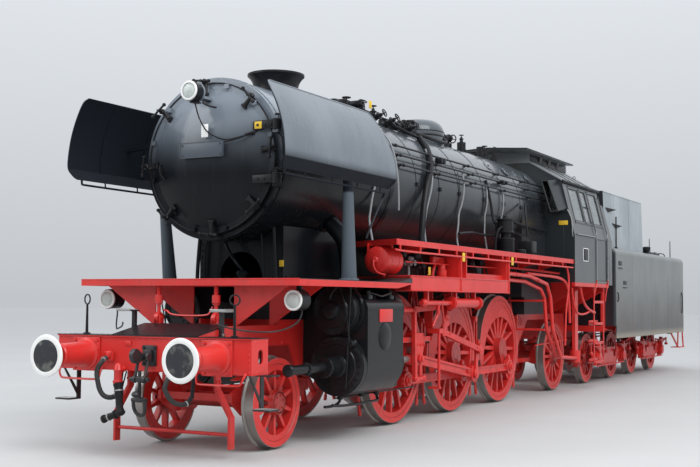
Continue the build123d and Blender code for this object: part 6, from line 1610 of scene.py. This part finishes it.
shell, seals, dark_trim, bright = Work(), Work(), Work(), Work()
side_panes = (
    # front, rear, low, high
    (11250, 11830, 3190, 3800),
    (11930, 12280, 3190, 3800),
    (12460, 13000, 3190, 3800),
)
for _ in both_sides(shell, dark_trim, bright, seals):
    out = way(0, 1, wall_lean)
    for first, last, low, high in side_panes:
        for grow, work, proud in ((30, shell, 9), (0, seals, 5)):
            bars = frame_bars(first - grow, last + grow, low - grow, high + grow, 30 if grow else 12)
            for s_low, s_high, z_low, z_high in bars:
                corners = [(s_low, z_low), (s_high, z_low), (s_high, z_high), (s_low, z_high)]
                work.plate([(s, wall_side(z) - 3, z) for s, z in corners], out * (proud + 3), 2)
    # Sliding rail, drip strip over the panes and weld beads round the side sheets.
    for z in (3150, 3842):
        shell.rod((11200, wall_side(z) + 5, z), (13060, wall_side(z) + 5, z), 7, sides=8)
    dark_trim.rod((11900, wall_side(3500) + 6, 3500), (12380, wall_side(3500) + 6, 3500), 8, sides=8)
    dark_trim.tube([(10925, 1292, 3915), (12000, 1300, 3908), (13275, 1292, 3915)], 17, 1)
    dark_trim.block((10926, 13274), (1280, 1298), (3884, 3906), 3)
    shell.rod((10972, 1500, 2900), (13208, 1500, 2900), 4, sides=6)
    shell.rivets((11010, 1500, 2075), (12370, 1500, 2075), 24, left, 7)
    for station in (10995, 12375, 13185):
        shell.rivets((station, 1500, 2120), (station, 1500, 2860), 13, left, 7)
        for number in range(13):
            z = 2950 + 72 * number
            shell.rivet((station, wall_side(z), z), out, 7)
    # Doorway edging and its bright step plate.
    for station in (12396, 13044):
        dark_trim.block((station - 5, station + 5), (1496, 1507), (2092, 2896), 2)
    dark_trim.block((12392, 13048), (1496, 1507), (2892, 2902), 2)
    bright.block((12380, 13060), (1470, 1508), (2068, 2080), 2)
    # Blank plate with a white rim, ahead of the doorway.
    dark_trim.block((11486, 11814), (1499, 1505), (2452, 2684), 2)
    # Box shield round the front window.
    front = [(985, 3880), (1095, 3890), (1292, 3325), (1150, 3315)]
    back = [(1003, 3868), (1196, 3938), (1352, 3400), (1003, 3330)]
    for number in range(4):
        near, far = front[number], front[number - 3]
        panel = [(10640, near), (10640, far), (10969, back[number - 3]), (10969, back[number])]
        skin = shell if number == 1 else dark_trim
        skin.plate([(s, y, z) for s, (y, z) in panel], (0, -7, -3))
        seals.rod((10640, *near), (10640, *far), 13, sides=8)
    # Front handrail, and the cable that runs down under the yellow plate.
    bright.tube(
        [(10950, 1366, 3372), (10938, 1400, 3330), (10938, 1462, 3171), (10938, 1464, 2900),
         (10968, 1464, 2880)], 10, 1,
    )
    seals.tube([(10962, 1280, 3090), (10962, 1300, 2800), (10962, 1290, 2470)], 5, 1)
    # Hood side: its outlet is a black panel of painted shade under the hood's overhang, with slats.
    dark_trim.block((10980, 13150), (640, 646), (4304, 4446), 2)
    for station in range(11500, 13050, 520):
        slat = ((0, 646, 4320), (110, 646, 4320), (70, 690, 4424), (-40, 690, 4424))
        shell.plate([(station + step, y, z) for step, y, z in slat], (14, 0, 0))
    # Draught plate behind the rear corner, on hinge straps.
    shell.block((13212, 13590), (1462, 1474), (2020, 2904), 3)
    shell.plate(
        [(13212, 1468, 2900), (13590, 1468, 2900), (13500, 1290, 3640), (13212, 1290, 3640)], (0, 10, 0),
    )
    for z in (2200, 2560, 2920):
        dark_trim.block((13120, 13260), (1474, 1506), (z - 16, z + 16), 3)
    # Rear window frames and the doorway's handrails.
    for z in (3084, 3800):
        shell.block((13204, 13220), (404, 1096), (z, z + 16), 2)
    for y in (404, 1080):
        shell.block((13204, 13220), (y, y + 16), (3084, 3816), 2)
    bright.tube([(13212, 385, 2250), (13250, 385, 2290), (13250, 385, 3160), (13212, 385, 3200)], 12, 1)
    shell.rivets((13212, 420, 2120), (13212, 1460, 2120), 16, backward, 8)
# Roof: standing seams, the hood's edge strips and front board, and the lifting eyes.
for _ in both_sides(dark_trim, shell):
    for station in (11500, 12080, 12660):
        seam = ((1286, 3922), (644, 4300), (644, 4314), (1286, 3936))
        shell.plate([(station, y, z) for y, z in seam], (24, 0, 0))
    dark_trim.block((10346, 13156), (796, 806), (4452, 4474), 2)
    dark_trim.plate([(10345, 0, 4497), (10345, 802, 4447), (10345, 802, 4472), (10345, 0, 4522)], (8, 0, 0))
    for station in (11300, 12900):
        shell.ring((station, 900, 4172), forward, 26, 7, 16)
shell.fit("cab_frames", cab_paint, "locomotive", "cab_grey")
dark_trim.fit("cab_dark_trim", works_black, "locomotive", "black_steel")
seals.fit("cab_window_seals", hose_black, "locomotive", "hose_rubber")
bright.fit("cab_bright_rails", bare_steel, "locomotive", "rod_steel")
labels, rims = Work(), Work()
for _ in both_sides(labels, rims):
    labels.block((10958, 10966), (1200, 1372), (3092, 3174), 2)
    for s_low, s_high, z_low, z_high in frame_bars(11478, 11822, 2444, 2692, 14):
        rims.block((s_low, s_high), (1499, 1507), (z_low, z_high), 2)
labels.fit("cab_yellow_plates", notice_yellow, "locomotive")
rims.fit("cab_plate_rims", white_paint, "locomotive")

# Inside the cab: fire door with its lever, gauges on the back plate, valves, pipes and seats.
controls, dials, pads = Work(), Work(), Work()
controls.turned(
    [(0, 250), (20, 262), (34, 250), (40, 180), (60, 150), (64, 0)], (11420, 0, 2550), backward, 32,
)
controls.rod((11500, -60, 2550), (11560, -420, 2700), 14)
gauge_rows = (
    # side, height, radius
    (-420, 3560, 90), (-180, 3700, 70), (120, 3720, 70),
    (380, 3600, 90), (560, 3420, 55), (-600, 3380, 55),
)
for y, z, radius in gauge_rows:
    controls.turned(
        [(0, radius), (40, radius), (46, radius - 12), (40, radius - 14)], (11342, y, z), backward, 24,
    )
    dials.turned([(0, radius - 13), (3, radius - 14), (3, 0)], (11378, y, z), backward, 24)
    controls.tube([(11345, y, z - radius), (11380, y * 0.9, z - radius - 120), (11345, y * 0.6, 3020)], 9, 1)
for y, z in ((-520, 3050), (-300, 3180), (0, 3240), (300, 3180), (520, 3050), (620, 2700), (-620, 2700)):
    valve(controls, (11342, y, z), backward, 46)
controls.rod((11480, 0, 3500), (11520, 330, 3250), 16, 12)
for _ in both_sides(pads, controls):
    pads.block((11962, 12338), (992, 1368), (2640, 2700), 24)
    controls.tube([(11320, 760, 2120), (11360, 800, 2900), (11340, 640, 3900)], 16, 1)
controls.fit("cab_controls", works_black, "locomotive", "black_steel")
dials.fit("gauge_faces", white_paint, "locomotive")
pads.fit("seat_pads", hose_black, "locomotive", "hose_rubber")

# Cab steps: folded treads with raised nosings, bolted stringers, lower rungs and hand loops.
stairs, loops = Work(), Work()
for _ in both_sides(stairs, loops):
    for height in (1270, 900, 530):
        stairs.block((12372, 12978), (1330, 1342), (height - 40, height + 60), 2)
        stairs.block((12372, 12978), (1448, 1460), (height - 30, height + 20), 3)
        for station in (12378, 12972):
            stairs.bolt((station, 1457, height - 14), left, 20)
    for station in (12350, 13000):
        stairs.rivets((station, 1456, 560), (station, 1456, 1920), 12, left, 8)
    for station, run in ((12345, -70), (13130, -60)):
        low = station + run
        loops.tube(
            [(station, 1512, 2110), (station, 1514, 2040), (low, 1490, 1900), (low, 1470, 1700)], 12, 1,
        )
    loops.tube([(11500, 1440, 1960), (11520, 1460, 1560), (12340, 1462, 1480)], 26, 2)
    loops.tube([(11000, 1430, 1940), (11060, 1440, 1500), (11700, 1445, 1430), (12100, 1450, 1520)], 20, 2)
stairs.fit("step_trim", frame_red, "locomotive", "red_frame")
loops.fit("step_rails", frame_red, "locomotive", "red_frame")

# Tender tank and coal bunker: welded grey sheets, streaked by rain and rust-stained low down, with a painted
# highlight on the bottom hem, a front face painted near black as shade, foot recesses, weld beads, a rolled
# bunker rim, wedge brackets and rails.
def streaked_paint(name, colour, low_colour, pale, shaded_front_station):
    """Grey paint on tall sheets: clouds, long rain runs, a warm lower part, a painted highlight on the bottom
    hem and a front face painted near black as shade.
    """
    paint = Finish(name)
    clouds = paint.band(paint.noise(0.7, (1, 1, 0.5), 5), 0.38, 0.68)
    runs = paint.band(paint.noise(0.11, (1, 1, 0.06), 6, 0.6), 0.46, 0.72)
    thin_runs = paint.band(paint.noise(0.035, (1, 1, 0.05), 4), 0.50, 0.75)
    lower = 1 - paint.band(paint.axis("Z") + paint.noise(0.5) * 0.7, 1.35, 2.75)
    rust = paint.band(paint.noise(1.3, (1, 1, 0.7), 5, 0.6), 0.52, 0.70) * lower
    # Painted highlight: the rolled bottom hem is lightened to beige.
    painted_hem_highlight = 1 - paint.band(paint.axis("Z"), 0.97, 1.10)
    base = paint.blend(clouds * 0.5, colour, pale)
    base = paint.blend(lower * 0.8, base, low_colour)
    base = paint.blend(rust * 0.5, base, rgb(0.150, 0.085, 0.060))
    base = paint.blend(runs * 0.30, base, pale)
    base = paint.blend(thin_runs * 0.22, base, rgb(0.07, 0.07, 0.065))
    base = paint.blend(painted_hem_highlight * 0.7, base, rgb(0.30, 0.26, 0.20))
    # Painted shade: the front face ahead of the given station turns near black.
    base = paint.blend(paint.band(paint.axis("X"), shaded_front_station, shaded_front_station + 0.002), base, rgb(0.016, 0.018, 0.022))
    paint.bump(clouds * 0.6 + runs * 0.2, 0.0012)
    paint.set(Base_Color=base, Roughness=0.34 + lower * 0.12 + runs * 0.06)
    paint.set(Coat_Weight=0.15, Coat_Roughness=0.15, Specular_IOR_Level=0.35)
    return paint


tank_paint = streaked_paint(
    "tank_paint", rgb(0.145, 0.156, 0.154), rgb(0.066, 0.056, 0.051), rgb(0.215, 0.228, 0.226), -3.216
)
bunker_paint = streaked_paint(
    "bunker_paint", rgb(0.250, 0.290, 0.310), rgb(0.190, 0.200, 0.200), rgb(0.450, 0.490, 0.510), -3.2095
)
dress(tank_paint, "tender_tank")
dress(bunker_paint, "coal_bunker")
dress(works_black, "tender_fittings")
sheets, fixings, rolled = Work(), Work(), Work()
for _ in both_sides(fixings, sheets, rolled):
    for s_low, s_high, z_low, z_high in ((14063, 14348, 2446, 2538), (14435, 14729, 2047, 2131)):
        fixings.block((s_low, s_high), (1470, 1477), (z_low, z_high), 1)
        fixings.block((s_low - 8, s_high - 4), (1474, 1496), (z_low - 62, z_low - 46), 4)
        sheets.block((s_low - 12, s_high + 12), (1472, 1479), (z_high, z_high + 8), 2)
    for station in (15200, 16900, 18600):
        sheets.rod((station, 1474, 960), (station, 1474, 2670), 3, sides=6)
    sheets.rod((13930, 1474, 1215), (20310, 1474, 1215), 3, sides=6)
    for station in range(14000, 20400, 400):
        sheets.rivet((station, 1475, 1160), left, 9)
    for low, high, station in ((1699, 1886, 13975), (1423, 1946, 20095)):
        grip = ((1474, low), (1500, low + 10), (1500, high - 10), (1474, high))
        fixings.tube([(station, y, z) for y, z in grip], 12, 1)
    # Wedge brackets on the bunker side, and the upright rail with its foot on the tank top.
    fixings.plate([(14020, 1222, 3652), (14545, 1310, 3637), (14200, 1222, 3562)], (0, 12, 0))
    fixings.plate([(14480, 1222, 3352), (14990, 1310, 3321), (14760, 1222, 3250)], (0, 12, 0))
    fixings.rod((14555, 1300, 2795), (14555, 1300, 3495), 15)
    fixings.turned([(0, 50), (10, 50), (20, 34), (60, 26), (64, 0)], (14555, 1300, 2800), upward, 16)
    # Bunker: rolled top rim, weld beads, foot angle and corner stiffeners.
    rolled.tube([(13880, 1206, 3976), (15000, 1206, 3976), (17092, 1206, 3976)], 15, 1)
    rolled.block((13870, 17100), (1238, 1262), (2810, 2822), 2)
    for station in (14700, 15900):
        stiffener = ((1240, 2880), (1211, 3960), (1216, 3960), (1245, 2880))
        rolled.plate([(station, y, z) for y, z in stiffener], (7, 0, 0))
    rolled.rivets((13960, 1252, 2823), (17050, 1252, 2823), 32, upward, 7)
    # Tank top: vent, filler lids with hinges and clamps, hoops and the posts of the rear ladder.
    fixings.turned(
        [(0, 60), (90, 56), (110, 88), (190, 92), (204, 70), (206, 0)], (17720, 1180, 2800), upward, 28,
    )
    for station in (17760, 18320, 18880):
        rolled.block((station - 130, station + 220), (640, 1100), (2900, 2914), 4)
        for y in (700, 1040):
            fixings.rod((station + 218, y - 50, 2916), (station + 218, y + 50, 2916), 13, sides=8)
        fixings.tube(
            [(station - 110, 1110, 2870), (station - 118, 1124, 2925), (station - 40, 1090, 2928)], 9, 1,
        )
    fixings.tube(
        [(19080, 1100, 2806), (19140, 1100, 2905), (19560, 1100, 2915), (19950, 1100, 2905),
         (20010, 1100, 2806)], 13, 1,
    )
    for station, y, high in ((20340, 1150, 3270), (20350, 620, 3340)):
        fixings.rod((station, y, 2800), (station, y, high), 13, 9)
    # Rear wall: beads, handrails and lamp cases.
    rolled.rod((20380, 1390, 1250), (20380, 1390, 2660), 5, sides=6)
    fixings.tube([(20378, 620, 1400), (20430, 620, 1430), (20430, 620, 2560), (20378, 620, 2600)], 12, 1)
    rolled.turned(
        [(0, 40), (60, 44), (64, 112), (100, 118), (128, 118), (134, 108), (130, 100)],
        (20376, 1050, 1700), backward, 32,
    )
sheets.fit("tank_trim", tank_paint, "tender", "tender_grey")
rolled.fit("bunker_trim", bunker_paint, "tender", "tender_grey")
for y in (-220, 220):
    fixings.rivets((20491, y, 1300), (20491, y, 2860), 14, backward, 8)
    fixings.tube([(20490, y, 2860), (20490, y, 3050), (20330, y, 3080), (20300, y, 2806)], 11, 1)
fixings.fit("tender_rails", works_black, "tender", "black_paint")
rear_glass = Work()
for _ in both_sides(rear_glass):
    rear_glass.turned([(0, 104), (8, 98), (14, 60), (16, 0)], (20508, 1050, 1700), backward, 32)
rear_glass.fit("rear_lamp_glasses", lamp_glass, "tender", "window_glass")

# Tender underframe: brake cylinder, rods, pipes, drag gear and the rear foot steps.
chassis = Work()
for _ in both_sides(chassis):
    chassis.tube([(13700, 1210, 1150), (14200, 1340, 1080), (17000, 1350, 1070), (20500, 1340, 1080)], 22, 1)
    for station in (14300, 16600, 17300, 20000):
        chassis.block((station - 14, station + 14), (1300, 1372), (1060, 1200), 2)
    chassis.rod((19350, 1370, 930), (20120, 1370, 566), 22)
    chassis.block((20080, 20600), (1190, 1440), (548, 566), 4)
    chassis.rod((20560, 1270, 560), (20620, 1270, 915), 18)
    chassis.rod((20560, 1410, 560), (20500, 1400, 960), 18)
    chassis.bolts((20640, 700, 1220), (20640, 1240, 1220), 5, backward, 30)
    chassis.turned([(0, 150), (14, 156), (380, 156), (394, 150), (400, 0)], (16900, 820, 960), backward, 32)
    chassis.rod((14000, 300, 900), (20200, 300, 900), 18, sides=8)
chassis.fit("tender_underframe_trim", frame_red, "tender", "red_frame")

# Tender bogies: leaf springs over covered axleboxes, hangers, tie rods and brake blocks.
for name, centre, axles in (("bogie_front", 14900, (13950, 15850)), ("bogie_rear", 18575, (17625, 19525))):
    truck = Work()
    for _ in both_sides(truck):
        for axle in axles:
            truck.turned(
                [(0, 128), (10, 132), (26, 132), (34, 104), (62, 92), (76, 60), (80, 0)],
                (axle, 1058, 528), left, 32,
            )
            truck.bolt_circle((axle, 1084, 528), left, 116, 6, 22)
            truck.block((axle - 46, axle + 46), (1040, 1120), (648, 832), 5)
            for leaf in range(6):
                half, z = 560 - 78 * leaf, 800 - 15 * leaf
                truck.tube([(axle - half, 1082, z), (axle, 1082, z - 48), (axle + half, 1082, z)], 8, 0)
                bow = ((axle - half, z - 8), (axle, z - 46), (axle + half, z - 8), (axle, z - 34))
                truck.plate([(station, 1046, height) for station, height in bow], (0, 72, 0))
            for end in (-560, 560):
                truck.rod((axle + end, 1082, 812), (axle + end, 1082, 640), 16, sides=8)
                truck.turned(
                    [(0, 0), (0, 40), (30, 44), (60, 30), (60, 0)], (axle + end, 1082, 620), upward, 14,
                )
            for end in (-1, 1):
                truck.block((axle + end * 545 - 24, axle + end * 545 + 24), (700, 812), (360, 640), 8)
                truck.rod((axle + end * 590, 760, 500), (axle + end * 600, 760, 900), 15, sides=8)
        truck.rivets((centre - 900, 1036, 690), (centre + 900, 1036, 690), 14, left, 9)
        truck.rod((axles[0] - 100, 1082, 372), (axles[1] + 100, 1082, 372), 16, sides=8)
    truck.fit(f"{name}_springs", frame_red, name, "red_frame")
